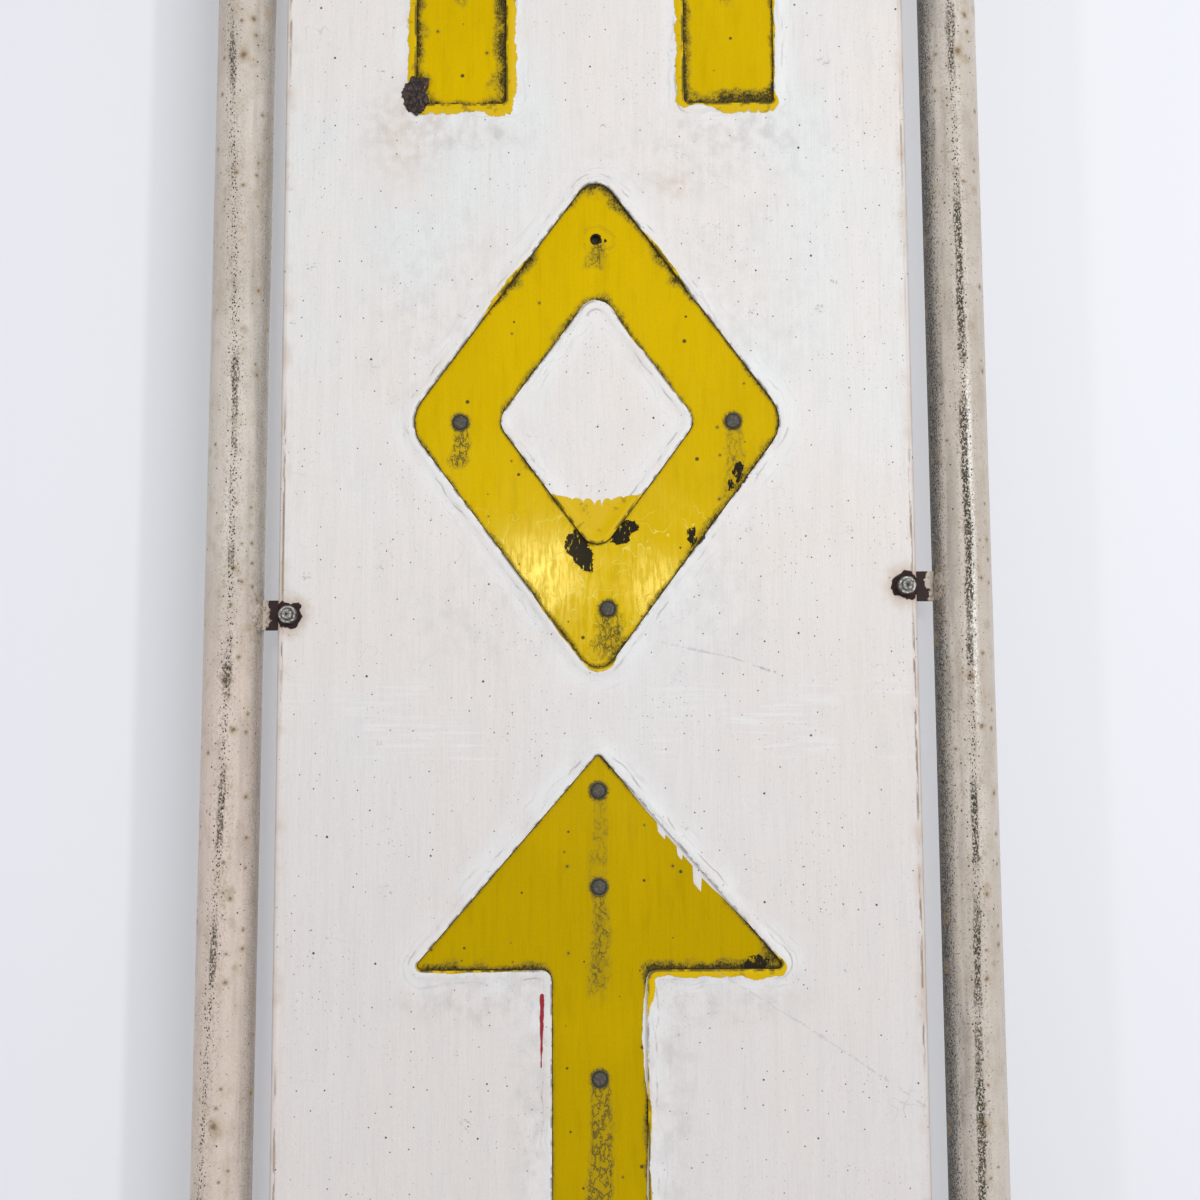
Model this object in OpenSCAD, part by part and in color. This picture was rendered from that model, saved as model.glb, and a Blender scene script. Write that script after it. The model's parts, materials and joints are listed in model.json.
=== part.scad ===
// Hotel sign that stands out from a wall: two uprights and two arms of round tube carry a
// double-faced panel. Each face is a white sheet with cut-out shapes over yellow enamelled plates.
// The wall is the plane X = 0, the front face looks towards -Y and +Z is up.
// The origin is the middle of the lower wall plate's back. All sizes are in millimetres.

/* [Tubes] */
// Outside diameter of the tubes
tube_od = 33.7; // [26.9:0.1:42.4]
// Wall thickness of the tubes
tube_wall = 2.6; // [2:0.1:4]
// Distance from the wall to the left upright's centre line at the lower arm
arm_reach = 135; // [120:1:240]
// How far the left upright leans towards the panel at the upper arm
left_lean = 8; // [0:0.5:10]
// Gap between each cut tube end and what it is welded to
weld_gap = 0.2; // [0.1:0.05:0.4]

/* [Arm end caps] */
// Thickness of an end cap's flange
cap_flange = 2.5; // [1.5:0.5:5]
// Length of an end cap's plug
cap_plug = 14; // [8:1:30]
// Gap between an end cap's plug and the tube's inside
cap_clearance = 0.2; // [0.1:0.05:0.4]

/* [Wall fixing] */
// Width of a wall plate, across the sign
wall_plate_w = 100; // [90:1:160]
// Height of a wall plate
wall_plate_h = 140; // [130:1:220]
// Thickness of a wall plate
wall_plate_t = 8; // [5:0.5:12]
// Corner radius of a wall plate
wall_plate_r = 8; // [2:1:14]
// Distance from a fixing hole's centre to each edge of the wall plate
fixing_inset = 18; // [15:1:22]
// Diameter of the fixing holes
fixing_d = 12; // [8:0.5:14]
// Thickness of a gusset
gusset_t = 6; // [4:0.5:10]
// Length of a gusset along the arm
gusset_reach = 62; // [40:1:80]
// Depth of a gusset below the arm, at the wall plate
gusset_drop = 44; // [25:1:46]
// Depth of a gusset's two blunt ends
gusset_nose = 8; // [4:1:15]

/* [Panel] */
// Width of the panel
panel_w = 368; // [360:1:480]
// Gap between the left upright and the panel at the lower arm
left_gap = 14; // [12:0.5:30]
// Gap between the right upright and the panel
right_gap = 10; // [6:0.5:30]
// Gap between each arm and the panel's end
end_gap = 30; // [10:1:80]
// Distance from each end of the panel to the nearest shape
end_margin = 60; // [45:1:120]
// Thickness of a face sheet
face_t = 1.5; // [1:0.1:3]
// Outside radius of a face sheet's folded edges
fold_r = 2.2; // [1:0.1:2.4]
// Gap between the folded lips of the two face sheets
lip_gap = 0.6; // [0.3:0.1:1.2]
// Width of the raised rim round each cut-out
rim_w = 2.6; // [1.5:0.1:5]
// Height of the raised rim
rim_h = 0.6; // [0.3:0.1:1.2]

/* [Plates] */
// Thickness of a yellow plate
plate_t = 1; // [0.6:0.1:2]
// Gap between the tabs' ends and the yellow plates and core sheet
tab_to_plate = 4; // [2:0.5:12]
// Gap between one yellow plate and the next
plate_joint = 10; // [2:1:20]
// Thickness of the core sheet
core_t = 3; // [2:0.5:6]
// Gap between the core sheet's ends and the folded lips
core_end_gap = 3; // [1:0.5:10]

/* [Shapes] */
// Width of every shape
shape_w = 213; // [190:1:240]
// Height of the space for every shape
shape_h = 287; // [270:1:330]
// Space between one shape and the next
shape_gap = 48; // [44:1:80]
// Width of the walls, stem and ring strokes
stroke_w = 54; // [44:1:58]
// Radius of sharp corners
corner_r = 3; // [1:0.5:6]
// Radius of inside corners
fillet_r = 6; // [2:0.5:10]
// Height of the house's doorway
door_h = 128; // [80:1:140]
// Height of the house's eaves
eaves_h = 165; // [150:1:180]
// Radius of the lozenge's side corners
lozenge_side_r = 22; // [6:1:26]
// Radius of the lozenge's top and bottom corners
lozenge_end_r = 12; // [4:1:16]
// Height of the arrow's head
arrow_head_h = 122; // [90:1:140]
// Distance from the star's middle to its inner corners
star_inner_r = 52; // [44:1:66]
// Radius of the round bow of the key
bow_r = 66; // [58:1:72]
// Radius of the hole in the key's bow
bow_hole_r = 24; // [18:1:28]
// Width of the key's shank
shank_w = 38; // [30:1:50]
// Length of the key's two bits beyond the shank
bit_reach = 50; // [30:1:60]
// Height of each of the key's bits
bit_h = 30; // [20:1:34]
// Space between the key's two bits
bit_gap = 22; // [12:1:30]
// Distance from the key's foot to its lower bit
bit_foot = 16; // [6:1:24]
// How far the key's collar stands out on each side of the shank
collar_reach = 17; // [8:1:22]
// Height of the key's collar
collar_h = 16; // [10:1:24]

/* [Tabs] */
// Number of tabs on each upright
tab_rows = 4; // [2:1:5]
// Distance from each end of the panel to the middle of the nearest pair of tabs
tab_margin = 205; // [60:1:240]
// Height of a tab
tab_h = 17; // [14:0.5:24]
// How much higher each right tab is than its left neighbour
tab_stagger = 15; // [0:0.5:30]
// Gap all round a tab where it passes the folded lips
notch_clearance = 0.8; // [0.3:0.1:2]

/* [Fasteners] */
// Diameter of the bolts
bolt_d = 6; // [4:0.5:6]
// Distance from a bolt's centre to the panel's edge
bolt_inset = 6.5; // [6:0.5:9]
// Gap round each bolt in its hole
bolt_clearance = 0.3; // [0.1:0.05:0.5]
// Width across the flats of the nuts and bolt heads
hex_af = 10; // [7:0.5:11]
// Height of a nut
nut_h = 5; // [3:0.5:6.5]
// Height of a bolt head
head_h = 4; // [2.5:0.5:5]
// Length of bolt that stands out of its nut
bolt_end = 2; // [0.5:0.5:5]
// Diameter of the washers
washer_od = 12; // [11:0.5:13]
// Thickness of the washers
washer_t = 1.2; // [0.8:0.1:1.6]
// Diameter of a plate rivet's shank
rivet_d = 5; // [3:0.5:6]
// Diameter of a plate rivet's head
rivet_head_d = 9; // [7.5:0.5:12]
// Height of a plate rivet's head
rivet_head_h = 1.1; // [0.6:0.1:2]
// Gap round each rivet in its hole
rivet_clearance = 0.1; // [0.05:0.05:0.2]
// Diameter of an island rivet's shank
flush_d = 4; // [3:0.5:5]
// Straight part of an island rivet's hole under its countersink
flush_land = 0.2; // [0.1:0.1:0.5]

/* [Rivet places] */
// Height of the rivets in the house's walls
wall_rivet_z = 95; // [70:1:120]
// Distance of the gable's rivets from the middle of the house
gable_rivet_x = 45; // [20:1:55]
// Height of the gable's rivets above the eaves
gable_rivet_rise = 22; // [10:1:30]
// Distance of the lozenge's top and foot rivets from its rounded ends
lozenge_end_rivet = 34; // [28:1:44]
// How far the lozenge's foot rivet sits off the middle
foot_rivet_drift = 6; // [0:0.5:8]
// Distance from the arrow's tip to its first rivet
arrow_tip_rivet = 22; // [20:1:40]
// Distance from the arrow's tip to its second rivet
arrow_neck_rivet = 76; // [60:1:110]
// Distance from the arrow's tip to its third rivet
arrow_stem_rivet = 182; // [150:1:200]
// Height of the lowest rivet of the arrow
arrow_foot_rivet = 26; // [12:1:50]
// Distance of the star's rivets from its middle
star_rivet_r = 63; // [50:1:75]
// Distance from the key's collar down to the rivet below it
collar_rivet_drop = 14; // [8:1:24]
// Height of the key's lowest rivet
key_foot_rivet = 16; // [8:1:24]
// Distance between the lozenge island's two rivets
lozenge_island_pitch = 52; // [30:1:60]
// Distance between the key island's two rivets
key_island_pitch = 22; // [14:1:26]

/* [Hidden] */
$fn = 64;

// Colours, as the photograph shows them
tube_colour = [0.75, 0.71, 0.66];
white_colour = [0.90, 0.88, 0.86];
yellow_colour = [0.83, 0.71, 0.02];
steel_colour = [0.62, 0.62, 0.60];
rivet_colour = [0.42, 0.40, 0.36];

// How far a cutting shape runs past the faces it cuts
cut = 1;
tube_r = tube_od / 2;
tube_bore_r = tube_r - tube_wall;

// Depths, measured from the middle plane of the panel and of the tubes
core_y = core_t / 2;
plate_y = core_y + plate_t;
face_y = plate_y + face_t;
rim_y = face_y + rim_h;
tab_t = 2 * plate_y;
flush_sink = face_t - flush_land;
flush_head_r = flush_d / 2 + flush_sink;

// Shapes from the foot of the panel to its head
house = 4;
lozenge = 3;
arrow = 2;
star = 1;
key = 0;
shape_count = 5;
shape_pitch = shape_h + shape_gap;

// Places across the sign
tab_end_inset = bolt_inset + tab_h / 2;
plate_w = panel_w - 2 * (tab_end_inset + tab_to_plate);
panel_left = arm_reach + tube_r + left_gap;
panel_mid = panel_left + panel_w / 2;
panel_right = panel_left + panel_w;
right_axis = panel_right + right_gap + tube_r;
arm_end = right_axis + tube_r;

// Heights
panel_h = shape_count * shape_h + (shape_count - 1) * shape_gap + 2 * end_margin;
panel_foot = tube_r + end_gap;
panel_head = panel_foot + panel_h;
upper_arm_z = panel_head + end_gap + tube_r;
lean_angle = atan(left_lean / upper_arm_z);
tab_pitch = (panel_h - 2 * tab_margin) / (tab_rows - 1);
function shape_foot(i) = panel_foot + end_margin + i * shape_pitch;
function tab_z(row) = panel_foot + tab_margin + row * tab_pitch;

// Bolts: one list of [x, z] for each side of the panel
left_bolts = [for (row = [0 : tab_rows - 1]) [panel_left + bolt_inset, tab_z(row)]];
right_bolts = [for (row = [0 : tab_rows - 1])
    [panel_right - bolt_inset, tab_z(row) + tab_stagger]];
bolts = concat(left_bolts, right_bolts);
nut_chamfer = 0.8;

// Lozenge ring: half sizes of the sharp diamond whose rounded corners just fill the space, and
// how much smaller the inner diamond is
lozenge_slope = atan(shape_w / shape_h);
diamond_w = shape_w / 2 + lozenge_side_r * (1 / cos(lozenge_slope) - 1);
diamond_h = shape_h / 2 + lozenge_end_r * (1 / sin(lozenge_slope) - 1);
diamond_share = 1 - stroke_w / diamond_w;
lozenge_mid = shape_h / 2;
lozenge_inner_r = 10;

// Star: its outer radius, and the height that puts it in the middle of its space
star_r = shape_w / 2 / sin(72);
star_mid = shape_h / 2 - (star_r - star_r * cos(36)) / 2;

// Key: middle of the bow, the collar that touches the bow from below, and the bits
bow_z = shape_h - bow_r;
collar_w = shank_w + 2 * collar_reach;
collar_z = bow_z - sqrt(bow_r * bow_r - shank_w * shank_w / 4) - collar_h;
upper_bit_z = bit_foot + bit_h + bit_gap;

// Rivets: [x, z] from the middle of each shape's foot
wall_rivet_x = (shape_w - stroke_w) / 2;
bow_rivet_x = (bow_r + bow_hole_r) / 2;
house_rivets_at = [for (s = [-1, 1], at = [[wall_rivet_x, wall_rivet_z],
                                           [gable_rivet_x, eaves_h + gable_rivet_rise]])
    [s * at[0], at[1]]];
lozenge_rivets_at = [[-wall_rivet_x, lozenge_mid], [wall_rivet_x, lozenge_mid],
                     [foot_rivet_drift, lozenge_end_rivet]];
arrow_rivets_at = [[0, shape_h - arrow_tip_rivet], [0, shape_h - arrow_neck_rivet],
                   [0, shape_h - arrow_stem_rivet], [0, arrow_foot_rivet]];
star_rivets_at = [for (i = [0 : 4])
    [star_rivet_r * sin(72 * i), star_mid + star_rivet_r * cos(72 * i)]];
key_rivets_at = [[-bow_rivet_x, bow_z], [bow_rivet_x, bow_z],
                 [0, collar_z - collar_rivet_drop], [0, key_foot_rivet]];
// The rivet at the lozenge's top has dropped out and left its hole
lost_rivet_at = [0, shape_h - lozenge_end_rivet];

function unit(v) = v / norm(v);
function corner_turn(a, p, b) = sign((p - a)[0] * (b - p)[1] - (p - a)[1] * (b - p)[0]);

// A polygon's points, counter-clockwise, with each corner rounded to its own radius and the
// whole outline moved outwards by grow
function outline(points, radii, grow = 0) = [
    for (i = [0 : len(points) - 1])
        let (count = len(points),
             p = points[i],
             u = unit(points[(i + count - 1) % count] - p),
             v = unit(points[(i + 1) % count] - p),
             turn = corner_turn(points[(i + count - 1) % count], p, points[(i + 1) % count]),
             half = acos(u * v) / 2,
             inward = unit(u + v),
             corner = p - turn * inward * grow / sin(half),
             r = max(radii[i] + turn * grow, 0.01),
             middle = corner + inward * r / sin(half),
             start = corner + u * r / tan(half) - middle,
             first = atan2(start[1], start[0]),
             sweep = turn * (180 - 2 * half),
             steps = max(3, ceil(abs(sweep) / 15)))
        for (k = [0 : steps])
            middle + r * [cos(first + sweep * k / steps), sin(first + sweep * k / steps)]];

function diamond(w, h) = [[0, -h], [w, 0], [0, h], [-w, 0]];

module house_shape(grow) {
    w = shape_w / 2;
    points = [[-w, 0], [stroke_w - w, 0], [stroke_w - w, door_h], [w - stroke_w, door_h],
              [w - stroke_w, 0], [w, 0], [w, eaves_h], [0, shape_h], [-w, eaves_h]];
    radii = [corner_r, corner_r, fillet_r, fillet_r, corner_r, corner_r,
             fillet_r, fillet_r, fillet_r];
    polygon(outline(points, radii, grow));
}

module lozenge_shape(grow) {
    radii = [lozenge_end_r, lozenge_side_r, lozenge_end_r, lozenge_side_r];
    translate([0, lozenge_mid]) polygon(outline(diamond(diamond_w, diamond_h), radii, grow));
}

module lozenge_island_shape(grow) {
    points = diamond(diamond_w * diamond_share, diamond_h * diamond_share);
    radii = [for (i = [0 : 3]) lozenge_inner_r];
    translate([0, lozenge_mid]) polygon(outline(points, radii, grow));
}

module arrow_shape(grow) {
    shoulder = shape_h - arrow_head_h;
    w = shape_w / 2;
    points = [[-stroke_w / 2, 0], [stroke_w / 2, 0], [stroke_w / 2, shoulder], [w, shoulder],
              [0, shape_h], [-w, shoulder], [-stroke_w / 2, shoulder]];
    radii = [corner_r, corner_r, fillet_r, corner_r, corner_r, corner_r, fillet_r];
    polygon(outline(points, radii, grow));
}

module star_shape(grow) {
    points = [for (i = [0 : 9])
        let (r = i % 2 == 0 ? star_r : star_inner_r)
        [-r * sin(36 * i), star_mid + r * cos(36 * i)]];
    radii = [for (i = [0 : 9]) i % 2 == 0 ? corner_r : fillet_r];
    polygon(outline(points, radii, grow));
}

module grown_square(corner, size, grow) {
    translate([corner[0] - grow, corner[1] - grow])
        square([size[0] + 2 * grow, size[1] + 2 * grow]);
}

module key_shape(grow) {
    translate([0, bow_z]) circle(bow_r + grow);
    grown_square([-shank_w / 2, 0], [shank_w, bow_z - bow_r / 2], grow);
    grown_square([-collar_w / 2, collar_z], [collar_w, collar_h], grow);
    for (z = [bit_foot, upper_bit_z])
        grown_square([0, z], [shank_w / 2 + bit_reach, bit_h], grow);
}

module key_island_shape(grow) {
    translate([0, bow_z]) circle(bow_hole_r + grow);
}

module shape(i, grow = 0) {
    if (i == house) house_shape(grow);
    if (i == lozenge) lozenge_shape(grow);
    if (i == arrow) arrow_shape(grow);
    if (i == star) star_shape(grow);
    if (i == key) key_shape(grow);
}

module island_shape(i, grow = 0) {
    if (i == lozenge) lozenge_island_shape(grow);
    if (i == key) key_island_shape(grow);
}

// A flat shape drawn in X and Z, thickened from the depth near to the depth far
module thick(near, far) {
    translate([0, far, 0]) rotate([90, 0, 0]) linear_extrude(far - near) children();
}

// A round bar along the depth, from the depth near to the depth far
module cross_bar(at, r, near, far) {
    translate([at[0], far, at[1]]) rotate([90, 0, 0]) cylinder(h = far - near, r = r);
}

// Puts the children on the front or mirrors them to the back
module on_side(side) {
    if (side == "front") children();
    if (side == "back") mirror([0, 1, 0]) children();
}

module at_shape(i) {
    translate([panel_mid, 0, shape_foot(i)]) children();
}

module left_axis() {
    translate([arm_reach, 0, 0]) rotate([0, lean_angle, 0]) children();
}

module right_axis_at() {
    translate([right_axis, 0, 0]) children();
}

// Outside of an arm, with room for the weld
module arm_cutter(z) {
    translate([0, 0, z]) rotate([0, 90, 0])
        cylinder(h = arm_end + cap_flange, r = tube_r + weld_gap);
}

module wall_plate(z) {
    w = wall_plate_w / 2;
    h = wall_plate_h / 2;
    radii = [for (i = [0 : 3]) wall_plate_r];
    color(tube_colour) translate([0, 0, z]) difference() {
        rotate([90, 0, 90]) linear_extrude(wall_plate_t)
            polygon(outline([[-w, -h], [w, -h], [w, h], [-w, h]], radii));
        for (y = [-1, 1], level = [-1, 1])
            translate([-cut, y * (w - fixing_inset), level * (h - fixing_inset)])
                rotate([0, 90, 0]) cylinder(h = wall_plate_t + 2 * cut, d = fixing_d);
    }
}

module gusset(z) {
    far = wall_plate_t + gusset_reach;
    points = [[wall_plate_t, 0], [wall_plate_t, -tube_r - gusset_drop],
              [wall_plate_t + gusset_nose, -tube_r - gusset_drop],
              [far, -tube_r - gusset_nose], [far, 0]];
    color(tube_colour) difference() {
        translate([0, 0, z]) thick(-gusset_t / 2, gusset_t / 2) polygon(points);
        arm_cutter(z);
    }
}

module arm(z) {
    color(tube_colour) translate([wall_plate_t, 0, z]) rotate([0, 90, 0]) difference() {
        cylinder(h = arm_end - wall_plate_t, r = tube_r);
        translate([0, 0, -cut])
            cylinder(h = arm_end - wall_plate_t + 2 * cut, r = tube_bore_r);
    }
}

module arm_cap(z) {
    plug_r = tube_bore_r - cap_clearance;
    edge = cap_flange / 3;
    profile = [[0, -cap_plug], [plug_r - edge, -cap_plug], [plug_r, edge - cap_plug], [plug_r, 0],
               [tube_r, 0], [tube_r, cap_flange - edge], [tube_r - edge, cap_flange],
               [0, cap_flange]];
    color(tube_colour) translate([arm_end, 0, z]) rotate([0, 90, 0])
        rotate_extrude() polygon(profile);
}

// An upright between the arms, cut to fit round both of them
module upright_tube() {
    length = upper_arm_z / cos(lean_angle);
    difference() {
        cylinder(h = length, r = tube_r);
        translate([0, 0, -cut]) cylinder(h = length + 2 * cut, r = tube_bore_r);
    }
}

module cut_to_arms() {
    color(tube_colour) difference() {
        children();
        arm_cutter(0);
        arm_cutter(upper_arm_z);
    }
}

// A tab from an upright's axis to its rounded end past the bolt, drilled for the bolt
module tab(bolt, axis_x) {
    toward = sign(axis_x - bolt[0]);
    reach = abs(axis_x - bolt[0]);
    difference() {
        translate([bolt[0], 0, bolt[1]]) thick(-plate_y, plate_y) {
            circle(tab_h / 2);
            translate([toward > 0 ? 0 : -reach, -tab_h / 2]) square([reach, tab_h]);
        }
        cross_bar(bolt, bolt_d / 2 + bolt_clearance, -plate_y - cut, plate_y + cut);
    }
}

module left_tabs() {
    color(tube_colour) difference() {
        for (bolt = left_bolts) tab(bolt, arm_reach + bolt[1] * tan(lean_angle));
        left_axis() cylinder(h = upper_arm_z, r = tube_r + weld_gap);
    }
}

module right_tabs() {
    color(tube_colour) difference() {
        for (bolt = right_bolts) tab(bolt, right_axis);
        right_axis_at() cylinder(h = upper_arm_z, r = tube_r + weld_gap);
    }
}

// Cross-section of a folded edge: a plate as wide as run, with its two front corners round
module fold_profile(run, depth, r) {
    translate([r, 0]) square([run - 2 * r, depth]);
    translate([0, r]) square([run, depth - r]);
    for (x = [r, run - r]) translate([x, r]) circle(r);
}

// A block over the whole panel, set in by inset, from the depth near to the depth far
module folded_block(inset, near, far, r) {
    w = panel_w - 2 * inset;
    h = panel_h - 2 * inset;
    translate([panel_left + inset, near, 0]) intersection() {
        translate([0, 0, panel_foot + inset]) linear_extrude(h) fold_profile(w, far - near, r);
        translate([0, 0, panel_head - inset]) rotate([0, 90, 0])
            linear_extrude(w) fold_profile(h, far - near, r);
    }
}

module face_sheet() {
    color(white_colour) difference() {
        union() {
            difference() {
                folded_block(0, -face_y, -lip_gap / 2, fold_r);
                folded_block(face_t, -plate_y, cut, max(fold_r - face_t, 0.3));
            }
            for (i = [0 : shape_count - 1]) at_shape(i)
                thick(-rim_y, -face_y + face_t / 3) shape(i, rim_w);
        }
        for (i = [0 : shape_count - 1]) at_shape(i) thick(-rim_y - cut, cut) shape(i);
        for (bolt = bolts) {
            cross_bar(bolt, bolt_d / 2 + bolt_clearance, -face_y - cut, cut);
            translate([bolt[0] - bolt_inset * 2, -plate_y, bolt[1] - tab_h / 2 - notch_clearance])
                cube([bolt_inset * 4, plate_y + cut, tab_h + 2 * notch_clearance]);
        }
    }
}

module island(i) {
    color(white_colour) at_shape(i) difference() {
        union() {
            thick(-face_y, -plate_y) island_shape(i);
            thick(-rim_y, -face_y) difference() {
                island_shape(i);
                island_shape(i, -rim_w);
            }
        }
        for (at = island_rivets_at(i)) flush_cutter(at);
    }
}

function island_rivets_at(i) =
    i == lozenge ? [for (s = [-1, 1]) [0, lozenge_mid + s * lozenge_island_pitch / 2]]
    : i == key ? [for (s = [-1, 1]) [0, bow_z + s * key_island_pitch / 2]]
    : [];

function plate_rivets_at(i) =
    i == house ? house_rivets_at
    : i == lozenge ? lozenge_rivets_at
    : i == arrow ? arrow_rivets_at
    : i == star ? star_rivets_at
    : key_rivets_at;

// Room for an island rivet and its countersunk head, from the front
module flush_cutter(at) {
    translate([at[0], 0, at[1]]) rotate([90, 0, 0]) rotate_extrude() flush_half(rivet_clearance);
}

// Half of an island rivet's outline, from the middle plane to the front face
module flush_half(gap) {
    polygon([[0, 0], [flush_d / 2 + gap, 0], [flush_d / 2 + gap, face_y - flush_sink],
             [flush_head_r + gap, face_y], [flush_head_r + gap, face_y + gap],
             [0, face_y + gap]]);
}

module plate_holes(i, near, far) {
    for (at = plate_rivets_at(i))
        cross_bar(at, rivet_d / 2 + rivet_clearance, near - cut, far + cut);
    for (at = island_rivets_at(i))
        cross_bar(at, flush_d / 2 + rivet_clearance, near - cut, far + cut);
}

module yellow_plate(i) {
    h = shape_pitch - plate_joint;
    color(yellow_colour) at_shape(i) difference() {
        translate([-plate_w / 2, -plate_y, (shape_h - h) / 2]) cube([plate_w, plate_t, h]);
        plate_holes(i, -plate_y, -core_y);
    }
}

// The front lozenge plate has one more hole, which has lost its rivet
module front_lozenge_plate() {
    color(yellow_colour) difference() {
        yellow_plate(lozenge);
        at_shape(lozenge) cross_bar(lost_rivet_at, rivet_d / 2 + rivet_clearance, -face_y, 0);
    }
}

module core_sheet() {
    foot = panel_foot + face_t + core_end_gap;
    color(steel_colour) difference() {
        translate([panel_mid - plate_w / 2, -core_y, foot])
            cube([plate_w, core_t, panel_h - 2 * (face_t + core_end_gap)]);
        for (i = [0 : shape_count - 1]) at_shape(i) plate_holes(i, -core_y, core_y);
        at_shape(lozenge)
            cross_bar(lost_rivet_at, rivet_d / 2 + rivet_clearance, -plate_y, plate_y);
    }
}

// A rivet through both plates and the core, with a low domed head on each plate
module plate_rivet() {
    head_r = rivet_head_d / 2;
    edge = rivet_head_h / 3;
    half = [[0, 0], [rivet_d / 2, 0], [rivet_d / 2, plate_y], [head_r, plate_y],
            [head_r, plate_y + edge], [head_r - edge, plate_y + 2 * edge],
            [head_r / 2, plate_y + rivet_head_h], [0, plate_y + rivet_head_h]];
    for (side = [0, 1]) mirror([0, side, 0]) rotate([90, 0, 0]) rotate_extrude() polygon(half);
}

module plate_rivets(i) {
    color(rivet_colour) at_shape(i)
        for (at = plate_rivets_at(i)) translate([at[0], 0, at[1]]) plate_rivet();
}

module island_rivets() {
    color(white_colour) for (i = [lozenge, key]) at_shape(i)
        for (at = island_rivets_at(i), side = [0, 1])
            translate([at[0], 0, at[1]]) mirror([0, side, 0]) rotate([90, 0, 0])
                rotate_extrude() flush_half(0);
}

// A hexagon prism along the depth with both rims chamfered
module hex_block(near, far) {
    r = hex_af / 2 / cos(30);
    length = far - near;
    translate([0, far, 0]) rotate([90, 0, 0]) intersection() {
        linear_extrude(length) circle(r, $fn = 6);
        rotate_extrude()
            polygon([[0, 0], [r - nut_chamfer, 0], [r, nut_chamfer * tan(30)],
                     [r, length - nut_chamfer * tan(30)], [r - nut_chamfer, length],
                     [0, length]]);
    }
}

module panel_bolts() {
    seat = face_y + washer_t;
    tip = face_y + nut_h + bolt_end;
    edge = bolt_d / 8;
    color(steel_colour) for (bolt = bolts) translate([bolt[0], 0, bolt[1]]) {
        hex_block(seat, seat + head_h);
        rotate([90, 0, 0]) rotate_extrude()
            polygon([[0, -seat - head_h / 2], [bolt_d / 2, -seat - head_h / 2],
                     [bolt_d / 2, tip - edge], [bolt_d / 2 - edge, tip], [0, tip]]);
    }
}

module panel_nuts() {
    color(steel_colour) for (bolt = bolts) difference() {
        translate([bolt[0], 0, bolt[1]]) hex_block(-face_y - nut_h, -face_y);
        cross_bar(bolt, bolt_d / 2 + rivet_clearance, -face_y - nut_h - cut, -face_y + cut);
    }
}

module panel_washers() {
    color(steel_colour) for (bolt = bolts) difference() {
        cross_bar(bolt, washer_od / 2, face_y, face_y + washer_t);
        cross_bar(bolt, bolt_d / 2 + bolt_clearance, face_y - cut, face_y + washer_t + cut);
    }
}

wall_plate(0);  // lower_wall_plate
wall_plate(upper_arm_z);  // upper_wall_plate
gusset(0);  // lower_gusset
gusset(upper_arm_z);  // upper_gusset
arm(0);  // lower_arm
arm(upper_arm_z);  // upper_arm
arm_cap(0);  // lower_arm_cap
arm_cap(upper_arm_z);  // upper_arm_cap
cut_to_arms() left_axis() upright_tube();  // left_upright
cut_to_arms() right_axis_at() upright_tube();  // right_upright
left_tabs();
right_tabs();
on_side("front") face_sheet();  // front_face
on_side("back") face_sheet();  // back_face
core_sheet();
on_side("front") yellow_plate(house);  // front_house_plate
on_side("front") front_lozenge_plate();
on_side("front") yellow_plate(arrow);  // front_arrow_plate
on_side("front") yellow_plate(star);  // front_star_plate
on_side("front") yellow_plate(key);  // front_key_plate
on_side("back") yellow_plate(house);  // back_house_plate
on_side("back") yellow_plate(lozenge);  // back_lozenge_plate
on_side("back") yellow_plate(arrow);  // back_arrow_plate
on_side("back") yellow_plate(star);  // back_star_plate
on_side("back") yellow_plate(key);  // back_key_plate
on_side("front") island(lozenge);  // front_lozenge_island
on_side("back") island(lozenge);  // back_lozenge_island
on_side("front") island(key);  // front_key_island
on_side("back") island(key);  // back_key_island
plate_rivets(house);  // house_rivets
plate_rivets(lozenge);  // lozenge_rivets
plate_rivets(arrow);  // arrow_rivets
plate_rivets(star);  // star_rivets
plate_rivets(key);  // key_rivets
island_rivets();
panel_bolts();
panel_nuts();
panel_washers();
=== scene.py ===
import bpy, json, math
import numpy as np
from mathutils import Matrix, Vector, noise
from mathutils.geometry import delaunay_2d_cdt


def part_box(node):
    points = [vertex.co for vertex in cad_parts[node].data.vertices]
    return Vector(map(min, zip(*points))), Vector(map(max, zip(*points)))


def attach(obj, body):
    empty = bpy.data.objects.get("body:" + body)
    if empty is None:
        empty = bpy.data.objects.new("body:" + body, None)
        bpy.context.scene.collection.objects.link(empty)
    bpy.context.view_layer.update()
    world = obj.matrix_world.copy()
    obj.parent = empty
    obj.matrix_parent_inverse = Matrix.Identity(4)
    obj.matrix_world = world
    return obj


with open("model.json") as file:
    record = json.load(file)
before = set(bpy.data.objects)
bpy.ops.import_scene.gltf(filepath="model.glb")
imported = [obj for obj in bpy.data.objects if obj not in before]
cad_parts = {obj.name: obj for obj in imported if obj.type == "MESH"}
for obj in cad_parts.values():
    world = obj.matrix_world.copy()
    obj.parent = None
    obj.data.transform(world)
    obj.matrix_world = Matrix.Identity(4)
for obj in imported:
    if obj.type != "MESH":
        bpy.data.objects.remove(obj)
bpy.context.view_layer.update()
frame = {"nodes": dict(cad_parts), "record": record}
cad = frame["nodes"]
mm = 0.001
near = 0.02  # mm, what counts as lying on a face or an outline
coatGap = 0.02  # mm, between a coat's underside and the solid below it
smoothAngle = 50  # degrees, sharper edges stay sharp
fastenerSpan = 14  # mm, corners of one fastener are closer together than this


def boxOf(node):
    low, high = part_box(node)
    return low / mm, high / mm


def cornersOf(node):
    return np.array([v.co for v in cad[node].data.vertices]) / mm


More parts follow.
